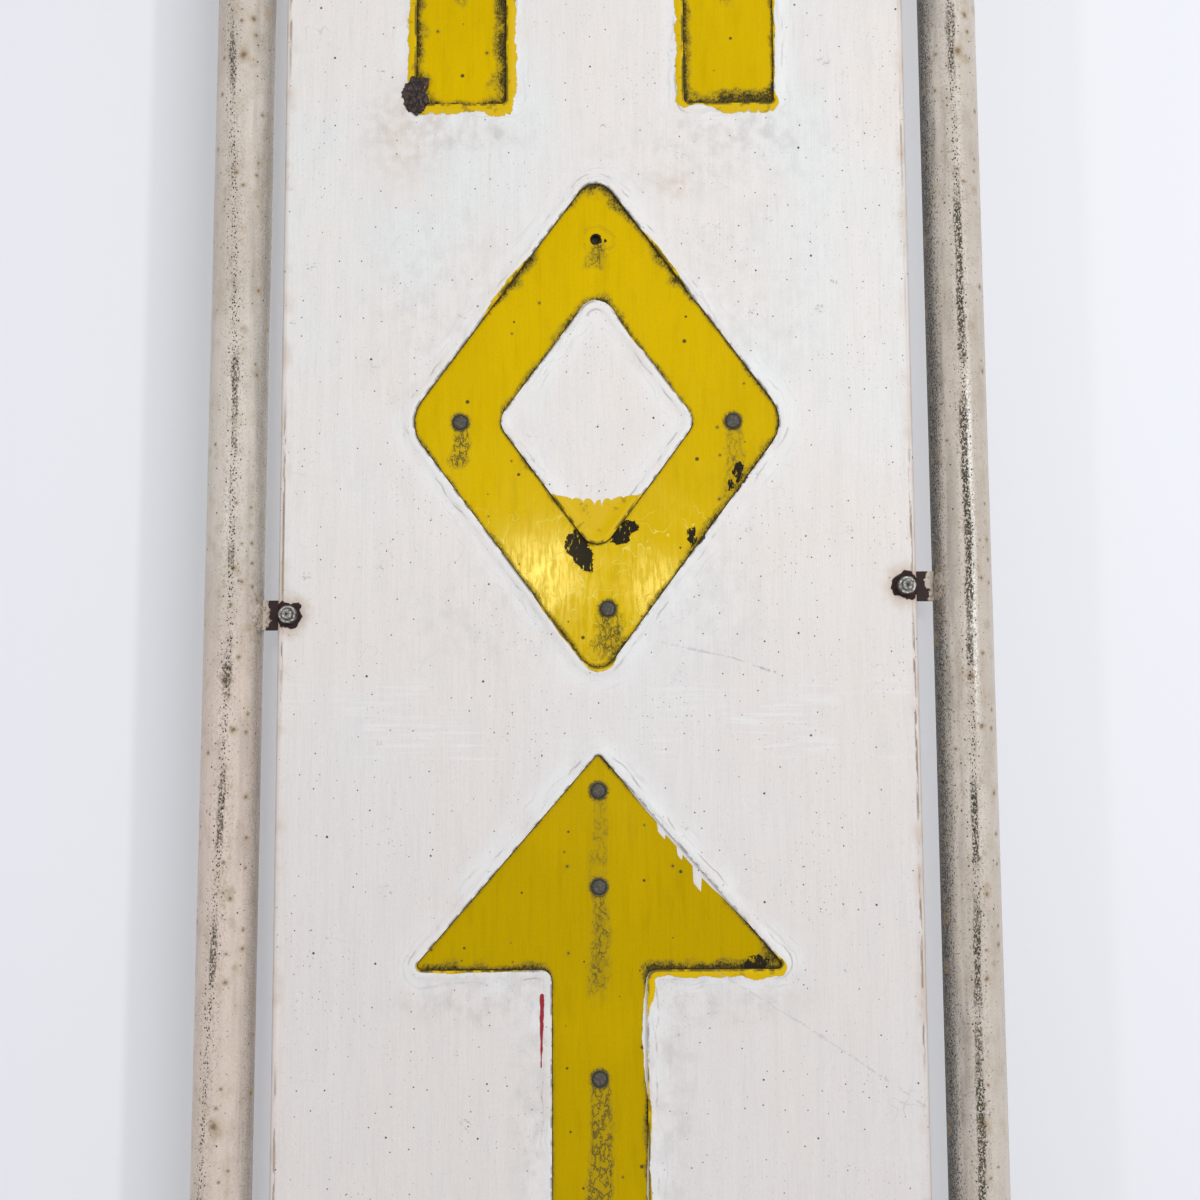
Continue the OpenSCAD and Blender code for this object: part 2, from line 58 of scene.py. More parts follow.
def spotsOf(node):
    # Middle of each separate fastener of a node, as (x, z)
    groups = []
    for p in cornersOf(node)[:, [0, 2]]:
        mates = [g for g in groups if abs(g[0] - p).max() < fastenerSpan]
        if mates:
            mates[0].append(p)
        else:
            groups.append([p])
    return [(np.min(g, 0) + np.max(g, 0)) / 2 for g in groups]


# Places read from the frame, in millimetres
faceLow, faceHigh = boxOf("front_face")
panelLeft, panelRight = faceLow.x, faceHigh.x
panelMid = (panelLeft + panelRight) / 2
panelFoot, panelHead = faceLow.z, faceHigh.z
rimDepth = -faceLow.y
faceDepth = -boxOf("panel_nuts")[1].y  # the nuts sit on the flat face
plateDepth = -boxOf("front_house_plate")[0].y
tubeRadius = -boxOf("right_upright")[0].y
shapeNames = ["house", "lozenge", "arrow", "star", "key"]
rivets = {name: spotsOf(name + "_rivets") for name in shapeNames}
bolts = spotsOf("panel_nuts")


def boltsBeside(side):
    # Heights of the bolts in the panel's left (1) or right (-1) edge
    return [z for x, z in bolts if (panelMid - x) * side > 0]


def onPanel(spot):
    # From the middle of the panel's foot to the frame
    return panelMid + spot[0], panelFoot + spot[1]


print("camera")
photo = {
    "lens": 45.0, "sensor": 36.0,  # mm
    "aim": (1.4, 1104.0),  # where the middle of the view meets the panel, from the middle of its foot
    "distance": 863.0,
    "lookUp": 5.5, "roll": -0.3,  # degrees
}


def addCamera():
    pitch = math.radians(photo["lookUp"])
    x, z = onPanel(photo["aim"])
    sight = Vector((0, math.cos(pitch), math.sin(pitch))) * photo["distance"]
    place = (Vector((x, -faceDepth, z)) - sight) * mm
    bpy.ops.object.camera_add(location=place)
    camera = bpy.context.object
    camera.name = "photoCamera"
    camera.data.lens = photo["lens"]
    camera.data.sensor_width = photo["sensor"]
    camera.data.clip_start = 0.05
    turn = Matrix.Rotation(math.radians(90) + pitch, 4, "X")
    roll = Matrix.Rotation(math.radians(photo["roll"]), 4, "Z")
    camera.matrix_world = Matrix.Translation(place) @ turn @ roll
    bpy.context.scene.camera = camera


addCamera()

print("finishes")


def feed(tree, socket, value):
    # Links a socket or an amount, or sets a plain value
    value = getattr(value, "socket", value)
    if isinstance(value, bpy.types.NodeSocket):
        tree.links.new(value, socket)
    else:
        socket.default_value = (*value, 1) if socket.type == "RGBA" else value


def addNode(tree, kind, *values, **named):
    # Values go to the sockets in their order; names with a capital are sockets, the others are settings
    node = tree.nodes.new("ShaderNode" + kind)
    for name, value in named.items():
        if name[0].islower():
            setattr(node, name, value)
    for socket, value in zip(node.inputs, values):
        feed(tree, socket, value)
    for name, value in named.items():
        if name[0].isupper():
            feed(tree, node.inputs[name], value)
    return node


class Amount:
    # What a node gives for each point of a surface; sums are written as with numbers
    def __init__(self, finish, socket):
        self.finish, self.socket = finish, socket

    def __add__(self, other):
        return self.finish.math("ADD", self, other)

    def __sub__(self, other):
        return self.finish.math("SUBTRACT", self, other)

    def __rsub__(self, other):
        return self.finish.math("SUBTRACT", other, self)

    def __mul__(self, other):
        return self.finish.math("MULTIPLY", self, other)

    def __truediv__(self, other):
        return self.finish.math("DIVIDE", self, other)

    def __abs__(self):
        return self.finish.math("ABSOLUTE", self)

    def above(self, limit):
        return self.finish.math("GREATER_THAN", self, limit)

    def below(self, limit):
        return self.finish.math("LESS_THAN", self, limit)

    def rise(self, low, high, start=0.0, end=1.0):
        # Smooth step from start at low to end at high
        node = self.finish.add("MapRange", self, low, high, start, end, interpolation_type="SMOOTHSTEP")
        return Amount(self.finish, node.outputs["Result"])


class Finish:
    # A node material built in layers, with every length in millimetres; the grain is the way its strokes run
    def __init__(self, name, colours, base, rough, metal=0.0, grain="Z", flatPanel=False):
        self.material = bpy.data.materials.new(name)
        self.material.use_nodes = True
        self.tree = self.material.node_tree
        self.bsdf = self.tree.nodes["Principled BSDF"]
        self.colours, self.grain = colours, grain
        self.wire("Metallic", metal)
        self.place = self.vector("SCALE", self.add("TexCoord").outputs["Object"], Scale=1 / mm)
        self.x, self.y, self.z = self.split(self.place)
        self.upright = self.join(self.x, 0, self.z)  # the place in the panel's plane
        self.sheet = None  # the surface laid flat, for spots that lie on it
        if flatPanel:  # the back gets another stretch of every pattern
            self.place = self.vector("ADD", self.place, self.join(self.y.above(0) * 900, 0, 0))
            x, y, z = self.split(self.place)
            self.sheet = self.join(x, z, 0)
        self.colour, self.rough, self.height = self.hue(base), rough, 0.0

    def hue(self, colour):
        return self.colours[colour] if isinstance(colour, str) else colour

    def add(self, kind, *values, **named):
        return addNode(self.tree, kind, *values, **named)

    def wire(self, name, value):
        feed(self.tree, self.bsdf.inputs[name], value)

    def math(self, operation, *values, clamp=False):
        return Amount(self, self.add("Math", *values, operation=operation, use_clamp=clamp).outputs[0])

    def vector(self, operation, *values, **named):
        outputs = self.add("VectorMath", *values, operation=operation, **named).outputs
        return Amount(self, outputs["Value" if operation in ("DISTANCE", "DOT_PRODUCT") else "Vector"])

    def split(self, vector):
        return [Amount(self, part) for part in self.add("SeparateXYZ", vector).outputs]

    def join(self, x, y, z):
        return Amount(self, self.add("CombineXYZ", x, y, z).outputs[0])

    def value(self, name):
        # A number that the piece carries at its points
        return Amount(self, self.add("Attribute", attribute_name=name).outputs["Fac"])

    def noise(self, size, tall=1.0, detail=3.0, rough=0.5, shift=0.0, wide=1.0, place=None):
        # Cloudy noise of this size, drawn out along the grain (tall) or across it (wide)
        ways = (tall, 1, wide) if self.grain == "X" else (wide, 1, tall)
        spot = self.vector("MULTIPLY", place or self.place, [1 / (size * way) for way in ways])
        spot = self.vector("ADD", spot, (shift, 1.7 * shift, 0.6 * shift))
        node = self.add("TexNoise", spot, Scale=1, Detail=detail, Roughness=rough)
        return Amount(self, node.outputs["Fac"])

    def patch(self, size, low, high, tall=1.0, detail=3.0, rough=0.5, shift=0.0, wide=1.0, least=0.0,
              most=1.0):
        # Soft patches of noise, rising from least where it is low to most where it is high
        return self.noise(size, tall, detail, rough, shift, wide).rise(low, high, least, most)

    def dots(self, size, low, high, keep, tall=1.0, shift=0.0, warp=0.0):
        # Scattered round spots: 1 inside the radius low, 0 outside high, in shares of the cell's size
        spot = self.vector("MULTIPLY", self.sheet or self.place, (1 / size, 1 / (size * tall), 1 / size))
        spot = self.vector("ADD", spot, (shift, 2.1 * shift, 0 if self.sheet else 1.3 * shift))
        if warp:
            push = self.vector("SCALE", self.add("TexNoise", spot, Scale=4).outputs["Color"], Scale=warp)
            spot = self.vector("ADD", spot, push)
        cell = self.add("TexVoronoi", spot, Scale=1, voronoi_dimensions="2D" if self.sheet else "3D").outputs
        chance, growth = self.split(cell["Color"])[:2]
        far = self.math("DIVIDE", cell["Distance"], growth.rise(0, 1, 0.4, 1.0))
        return far.rise(high, low) * chance.below(keep)

    def hair(self, size, fine, shift, low, high):
        # Thin wandering lines, in some places only
        line = abs(self.noise(size, detail=2, shift=shift) - 0.5)
        return line.rise(fine, fine / 4) * self.patch(size * 1.4, low, high, shift=shift + 3)

    def apart(self, spots):
        # Distance in the panel's plane to the nearest of these (x, z)
        far, *others = [self.vector("DISTANCE", self.upright, (x, 0, z)) for x, z in spots]
        for other in others:
            far = self.math("MINIMUM", far, other)
        return far

    def stroke(self, a, b):
        # Distance in the panel's plane to the straight line from a to b
        out = self.vector("SUBTRACT", self.upright, (a[0], 0, a[1]))
        way = Vector((b[0] - a[0], 0, b[1] - a[1]))
        along = self.math("DIVIDE", self.vector("DOT_PRODUCT", out, way), way.length_squared, clamp=True)
        return self.vector("DISTANCE", out, self.vector("SCALE", way, Scale=along))

    def mix(self, share, a, b, blend="MIX"):
        node = self.add("Mix", data_type="RGBA", blend_type=blend)
        # the node's sockets for colours have these numbers
        for socket, value in ((0, share), (6, self.hue(a)), (7, self.hue(b))):
            feed(self.tree, node.inputs[socket], value)
        return Amount(self, node.outputs[2])

    def shade(self, share, amount):
        # Darkens, or lightens above 1, all hues alike or each by its own amount
        amount = amount if isinstance(amount, tuple) else (amount,) * 3
        self.colour = self.mix(share, self.colour, amount, "MULTIPLY")

    def layer(self, share, colour=None, rough=None, lift=None):
        # Lays a colour, a roughness and a thickness over what is there
        if colour is not None:
            self.colour = self.mix(share, self.colour, colour)
        if rough is not None:
            gap = self.math("SUBTRACT", rough, self.rough)
            self.rough = self.math("MULTIPLY_ADD", share, gap, self.rough)
        if lift is not None:
            self.height = self.math("MULTIPLY_ADD", share, lift, self.height)

    def done(self):
        self.wire("Base Color", self.colour)
        self.wire("Roughness", self.rough)
        self.wire("Normal", self.add("Bump", Distance=mm, Height=self.height).outputs[0])
        return self.material


whitePaint = {
    "warm": (0.79, 0.75, 0.725), "cool": (0.765, 0.77, 0.775), "pink": (0.785, 0.725, 0.695),
    "dull": (0.715, 0.668, 0.658), "mist": (0.66, 0.67, 0.68), "shine": (0.80, 0.82, 0.84),
    "grey": (0.40, 0.385, 0.37), "crease": (0.16, 0.15, 0.14), "scratch": (0.34, 0.36, 0.39),
    "speck": (0.05, 0.035, 0.03), "pit": (0.16, 0.12, 0.11), "worn": (0.70, 0.60, 0.54),
    "stain": (0.50, 0.36, 0.25), "edgeRust": (0.22, 0.15, 0.11), "rust": (0.036, 0.022, 0.021),
    "redRust": (0.09, 0.035, 0.02), "broken": (0.05, 0.025, 0.018), "red": (0.30, 0.004, 0.014),
    "yellow": (0.66, 0.44, 0.0005), "ochre": (0.28, 0.19, 0.01), "rimGrimeAndShade": (0.10, 0.075, 0.012),
    # marks on the front, from the middle of the panel's foot; the scratches have their strength
    "scratches": [((34, 1080), (78, 1070), 0.4), ((78, 1070), (101, 1062), 0.75),
                  ((56, 900), (118, 862), 0.25), ((118, 862), (181, 820), 0.35)],
    "redLine": ((-32.8, 842), (-32.2, 881)),
}


def brushedWhite(name, painted):
    # Old white paint, brushed upwards; painted pieces carry distances to the shapes' edges
    f = Finish(name, whitePaint, "warm", 0.5, flatPanel=True)
    f.layer(f.patch(110, 0.42, 0.62, 1.6, shift=3), "cool")
    f.layer(f.patch(70, 0.5, 0.7, 1.4, 4, shift=11, most=0.6), "pink")
    f.layer(f.z.rise(1330, 960, 0, 0.65), "dull")
    f.layer(f.patch(13, 0.5, 0.74, 1.8, 5, 0.6, shift=12, most=0.3), "mist")
    # brush strokes, wide and fine
    f.shade(f.patch(4.5, 0.35, 0.7, 18, shift=5), 0.975)
    fine = f.noise(1.1, 26, shift=7)
    f.shade(fine.rise(0.4, 0.68), 0.965)
    f.height = fine * 0.05
    f.layer(f.noise(2.2, 5, 4, shift=2), lift=0.07)
    grain = f.noise(0.8, 2, 3, 0.6, shift=22)
    f.shade(grain.rise(0.36, 0.7), 0.95)
    f.layer(grain, lift=0.07)
    # thin grey dirt in vertical wisps, hair scratches, specks and pits
    f.layer(f.patch(2.6, 0.56, 0.78, 14, 4, shift=21) * f.patch(70, 0.45, 0.65, shift=4) * 0.16, "grey")
    f.layer(f.hair(34, 0.004, 24, 0.58, 0.66) * 0.3, "grey", lift=-0.06)
    f.layer(f.dots(11, 0.02, 0.055, 0.42, shift=1), "speck", 0.8, -0.05)
    f.layer(f.dots(31, 0.015, 0.03, 0.45, shift=2), "speck", 0.8, -0.05)
    f.layer(f.dots(4.1, 0.03, 0.09, 0.3, 1.5, shift=6) * 0.7, "grey", 0.8, -0.05)
    # small smeared scuffs
    smears = f.dots(44, 0.05, 0.13, 0.4, 0.7, shift=8, warp=0.2)
    f.layer(smears * f.patch(1.6, 0.56, 0.64, 1, 4, 0.65, shift=26, wide=1.2) * 0.8, "grey", 0.7, -0.05)
    pits = f.dots(3.2, 0.05, 0.12, 0.4, 1.5, shift=9)
    f.layer(pits * f.patch(55, 0.52, 0.62, shift=13) * 0.8, "pit", 0.8, -0.08)
    # a few strokes brushed across, below the lozenge
    level = f.z.rise(1050, 1066) * f.z.rise(1112, 1096) * f.patch(40, 0.42, 0.6, shift=82)
    f.layer(level * f.patch(2.4, 0.46, 0.66, shift=81, wide=16) * 0.6, "cool", lift=0.12)
    # the long edges, pink along the fold and brown in a broken line
    side = f.math("MINIMUM", f.x - panelLeft, panelRight - f.x)
    f.layer(side.rise(3.4, 2.6) * 0.4, "worn")
    line = abs(side - 2.7).rise(1.1, 0.2) * f.patch(2.4, 0.42, 0.52, 7, 4, 0.6, shift=17)
    f.layer(line * f.patch(60, 0.4, 0.6, 2, 2, shift=18) * 0.85, "edgeRust", 0.75, -0.05)
    f.layer(side.rise(9, 2) * f.patch(20, 0.48, 0.7, detail=4, shift=19) * 0.4, "stain")
    # rust spreading from the bolts
    bolt = f.noise(6, detail=4, shift=29) * 9 + (f.apart(bolts) - 4.5)
    f.layer(bolt.rise(16, 8, 0, 0.5), "stain")
    rusty = bolt.rise(8.3, 7.8)
    f.layer(rusty, "rust", 0.75, 0.2)
    f.layer(rusty * f.noise(1.5, detail=4, shift=30), lift=0.4)
    f.layer(rusty * f.patch(2, 0.55, 0.7, shift=34) * 0.6, "redRust")
    glossless = roundTheShapes(f, rusty) if painted else rusty
    # scratches and a stray red line
    front = f.y.below(0)
    for a, b, strength in whitePaint["scratches"]:
        far = f.noise(9, detail=2, shift=38) * 3 + (f.stroke(onPanel(a), onPanel(b)) - 1.2)
        gaps = f.patch(2.5, 0.43, 0.52, detail=4, rough=0.6, shift=39)
        f.layer(far.rise(1.3, 0.5) * gaps * front * strength, "scratch", 0.6, -0.1)
    low, high = (onPanel(end) for end in whitePaint["redLine"])
    far = f.stroke(low, high) + f.z.rise(high[1], low[1], 0, 0.8) + f.noise(5, shift=40) * 1.6
    f.layer(far.rise(2.3, 1.85) * front, "red", 0.5, 0.08)
    f.wire("Specular IOR Level", glossless * -0.38 + 0.5)
    return f.done()


def roundTheShapes(f, rusty):
    # Repainting, grime and yellow enamel round the shapes; gives back where the white has no gloss
    edge, spill = f.value("edge"), f.value("spill")
    # brushed along their outlines, cooler and greyer
    drift = f.noise(16, detail=2, shift=42) * 9 + edge
    strokes = f.noise(1, shift=41, place=f.join(drift * 0.6, f.x * 0.035, f.z * 0.035))
    around = edge.rise(19, 7) * f.patch(30, 0.36, 0.54, shift=43)
    f.layer(around * 0.4, "shine")
    f.layer(around * strokes.rise(0.55, 0.68) * 0.24, "grey")
    f.layer(around * strokes, lift=0.12)
    # grime and painted shade in the crease outside the rim, and on the rim's inner edge
    crease = abs(f.noise(17, shift=50) * 7 + (edge - 8.2)).rise(0.8, 0.1)
    f.layer(crease * f.patch(13, 0.5, 0.66, detail=4, shift=51) * 0.4, "crease", 0.8)
    f.layer(edge.rise(1.2, 0.1) * f.patch(6, 0.4, 0.58, detail=4, shift=53) * 0.8, "crease", 0.8)
    # dirt and stains laid where the piece says
    f.layer(f.value("smudge") * f.patch(8, 0.4, 0.72, 1.3, 5, 0.62, shift=61) * 0.4, "grey")
    f.layer(f.value("stain") * f.patch(6, 0.3, 0.7, detail=4, shift=67) * 0.55, "stain")
    # yellow enamel brushed over the rim, ragged in short drips, with its own dirt, and grime and painted
    # shade at the cut-out's edge
    ragged = f.noise(11, detail=6, rough=0.62, shift=31) - 0.5
    reach = f.math("MINIMUM", spill, 9) * 1.9 + 1.5
    drips = abs(f.math("SINE", f.noise(9, shift=32) * 5 + f.x * 0.5)) - 0.6
    strong = f.math("MAXIMUM", spill - 4.5, 0) * 0.75
    over = spill - edge + ragged * reach + drips * strong
    wet = over.rise(0.0, 0.25) * spill.above(0.15)
    f.layer(wet, "yellow", 0.32, 0.15)
    f.layer(wet * f.patch(5, 0.56, 0.66, detail=5, shift=73) * 0.6, "ochre", 0.5)
    f.layer(wet * edge.rise(1.5, 0.4) * f.patch(5, 0.4, 0.54, 2, 4, shift=71) * 0.85, "rimGrimeAndShade", 0.7)
    # paint broken off at the edge
    chip = f.noise(3.5, detail=5, rough=0.6, shift=77) * 1.1 + f.value("chip") - edge * 0.1
    f.layer(chip.rise(1.0, 1.05), "broken", 0.7, -0.15)
    return f.math("MAXIMUM", wet, rusty)


yellowEnamel = {
    # low is the enamel's lower part painted darker, a painted shade
    "bright": (0.67, 0.45, 0.0005), "deep": (0.60, 0.40, 0.0005), "low": (0.50, 0.335, 0.0005),
    "grimeAndShade": (0.085, 0.066, 0.016), "black": (0.022, 0.018, 0.014), "olive": (0.24, 0.175, 0.02),
    "speck": (0.12, 0.06, 0.015), "crust": (0.115, 0.09, 0.035), "ash": (0.24, 0.21, 0.17),
    "white": (0.76, 0.74, 0.72), "scratch": (0.80, 0.68, 0.14), "gleamTint": (1.0, 0.88, 0.34),
    # polished spots: x from the panel's middle, height, size, strength
    "gleams": ((-36, 1168, 42, 0.62), (38, 1158, 30, 0.42)),
}


def oldYellow(name):
    f = Finish(name, yellowEnamel, "bright", 0.2, flatPanel=True)
    polish = 0.1
    for across, up, size, strength in yellowEnamel["gleams"]:
        far = f.noise(12, detail=4, rough=0.6, shift=51) * (0.5 * size) + f.apart([(panelMid + across, up)])
        polish = far.rise(1.25 * size, 0.35 * size, 0, strength) + polish
    f.wire("Specular IOR Level", polish)
    f.wire("Specular Tint", yellowEnamel["gleamTint"])
    edge, grimeAndShade, streak, rivet, lost = (f.value(n) for n in ("edge", "grimeAndShade", "streak", "rivet", "lost"))
    # painted shade: the enamel is painted darker lower down, where less light and sheen fall on it
    f.layer(f.z.rise(1130, 1050), "low")
    f.layer(f.patch(80, 0.45, 0.68, 1.5, shift=2, most=0.5), "deep")
    lines = f.noise(0.9, 45, 2, shift=4)
    f.shade(lines.rise(0.38, 0.68), 0.955)
    f.shade(f.patch(5, 0.5, 0.75, 6, 5, shift=6), 0.92)
    f.shade(f.patch(0.7, 0.4, 0.68, 2, 3, 0.6, shift=7), 0.94)
    f.height = lines * 0.03
    f.layer(f.noise(38, 1.3, 1, shift=8), lift=1.3)
    f.layer(f.noise(6, 1.4, shift=9), lift=0.05)
    f.layer(f.patch(1.8, 0.42, 0.66, 5, 5, 0.6, shift=14), rough=0.34)
    # fine scratches painted lighter in the polished band, a painted highlight
    shiny = f.z.rise(1110, 1125) * f.z.rise(1215, 1190)
    f.layer(f.hair(16, 0.008, 44, 0.36, 0.46) * shiny * 0.75, "scratch", 0.3, -0.04)
    # brown specks with a faint halo
    f.layer(f.dots(15, 0.03, 0.15, 0.17, shift=3) * 0.6, "olive")
    f.layer(f.dots(15, 0.02, 0.06, 0.17, shift=3), "speck", 0.7)
    f.layer(f.dots(33, 0.02, 0.05, 0.4, shift=5), "grimeAndShade", 0.7)
    # mottled runs below the fixings
    mottle = abs(f.noise(3.4, 1.7, 4, 0.6, shift=15) - 0.5).rise(0.04, 0.012)
    wavy = (f.noise(5, detail=4, shift=16) - 0.5) * 0.7 + streak
    f.layer(wavy.rise(0.05, 0.5) * 0.27, "olive", 0.45)
    f.layer(wavy.rise(0.1, 0.4) * mottle * 0.6, "olive", 0.6, 0.18)
    f.layer(wavy.rise(0.45, 0.6) * mottle * 0.75, "crust", 0.75, 0.15)
    rim = wavy.rise(0.3, 0.45) * wavy.rise(0.75, 0.55) * streak.rise(0.45, 0.7)
    f.layer(rim * f.patch(2, 0.4, 0.56, 2, 4, shift=17) * 0.7, "grimeAndShade", 0.75, 0.1)
    # dirt and painted shade along the edges: dirt most at the foot of each shape, painted shade along the
    # right-hand edges, and a patchy thin black line of grime and painted shade in the corner all round
    ragged = f.noise(2.6, detail=6, rough=0.7, shift=19)
    stipple = f.patch(0.8, 0.43, 0.56, 1.5, 4, 0.65, shift=20)
    reach = edge / (grimeAndShade * f.patch(16, 0.36, 0.66, shift=23, least=2.2, most=8.5) + 0.6)
    f.layer((ragged * 1.2 + reach).rise(2.3, 0.9) * 0.5, "olive", 0.5)
    reach = ragged * 1.6 + reach
    f.layer(reach.rise(2.1, 1.2) * stipple * 0.8, "grimeAndShade", 0.75, 0.05)
    f.layer(reach.rise(1.35, 1.0, 0, 0.9), f.mix(stipple, "grimeAndShade", "black"), 0.75, 0.08)
    f.layer(edge.rise(0.8, 0.3) * f.patch(15, 0.36, 0.6, shift=24, least=0.3, most=0.9), "black", 0.8)
    # bare black metal where the enamel has chipped off, with yellow flecks left on it
    torn = f.noise(3.4, 1.2, 6, 0.68, shift=27) * 1.15 + f.value("chip")
    f.layer(torn.rise(1.0, 1.04) * f.patch(1.3, 0.64, 0.6, 3.4, 5, 0.62, shift=25), "black", 0.85, -0.2)
    # crust round the fixings
    ring = f.noise(2.0, detail=5, rough=0.6, shift=33) * 4.2 + rivet
    close = rivet.below(9.5)
    f.layer(ring.rise(9.5, 7.4) * close * 0.6, "olive", 0.6, 0.1)
    f.layer(ring.rise(8.0, 7.2) * close * 0.9, "grimeAndShade", 0.8, 0.12)
    f.layer(ring.rise(7.4, 6.8) * close * stipple * 0.5, "ash", 0.8, 0.1)
    # the lost rivet's hole: its washer's ring marks and black rim, and a pilot hole painted black as painted
    # shade
    for radius in (7.4, 8.6):
        mark = abs(lost - radius).rise(0.45, 0.1) * f.patch(4, 0.4, 0.5, shift=35)
        f.layer(mark * 0.45, "olive", 0.5, -0.06)
    f.layer((f.noise(1.6, detail=4, shift=36) * 1.4 + lost).rise(4.5, 3.9), "black", 0.8)
    # white paint lapping over the enamel
    spill = f.value("spill")
    lap = (f.noise(6, detail=4, shift=37) - 0.5) * (spill * 1.6) + (spill - edge)
    f.layer(lap.rise(0, 0.3) * spill.above(0.15), "white", 0.55, 0.15)
    return f.done()


tubePaint = {
    # bright is the colour of the painted highlight beside the tubes' seams
    "cream": (0.54, 0.475, 0.415), "pale": (0.60, 0.545, 0.49), "bright": (0.82, 0.80, 0.765),
    "halo": (0.36, 0.27, 0.165), "tan": (0.26, 0.16, 0.09), "olive": (0.12, 0.10, 0.055),
    "brown": (0.15, 0.085, 0.045), "burnt": (0.16, 0.085, 0.035), "umber": (0.08, 0.045, 0.03),
    "dirtAndShade": (0.095, 0.092, 0.086), "speck": (0.17, 0.125, 0.085), "black": (0.018, 0.016, 0.015),
    # rust spots: mm between them, share that is there, inner and outer radius, and where the pattern starts
    "spots": ((12, 0.26, 0.05, 0.24, 1), (23, 0.4, 0.04, 0.2, 7), (41, 0.4, 0.03, 0.15, 9)),
}


def toned(tone):
    # The tubes' colours with both creams lighter or darker
    return {**tubePaint, **{name: tuple(tone * c for c in tubePaint[name]) for name in ("cream", "pale")}}


def rustSpots(f):
    # Brown spots of several sizes with tan halos, and fine specks
    cloud = f.patch(3, 0.3, 0.6, detail=4, rough=0.6, shift=2, least=0.4)
    f.layer(f.dots(36, 0.03, 0.15, 0.6, shift=11, warp=0.06) * cloud * 0.6, "halo", 0.5)
    for size, keep, low, high, shift in tubePaint["spots"]:
        f.layer(f.dots(size, low, high, keep, shift=shift, warp=0.08) * cloud * 0.85, "halo", 0.55)
        f.layer(f.dots(size, low / 3, high * 0.45, keep, shift=shift, warp=0.08) * 0.8, "brown", 0.7, 0.06)
    f.layer(f.dots(2.6, 0.1, 0.22, 0.14, shift=3) * 0.7, "speck", 0.7)
    f.layer(f.dots(9, 0.03, 0.08, 0.2, shift=5), "black", 0.7, -0.1)


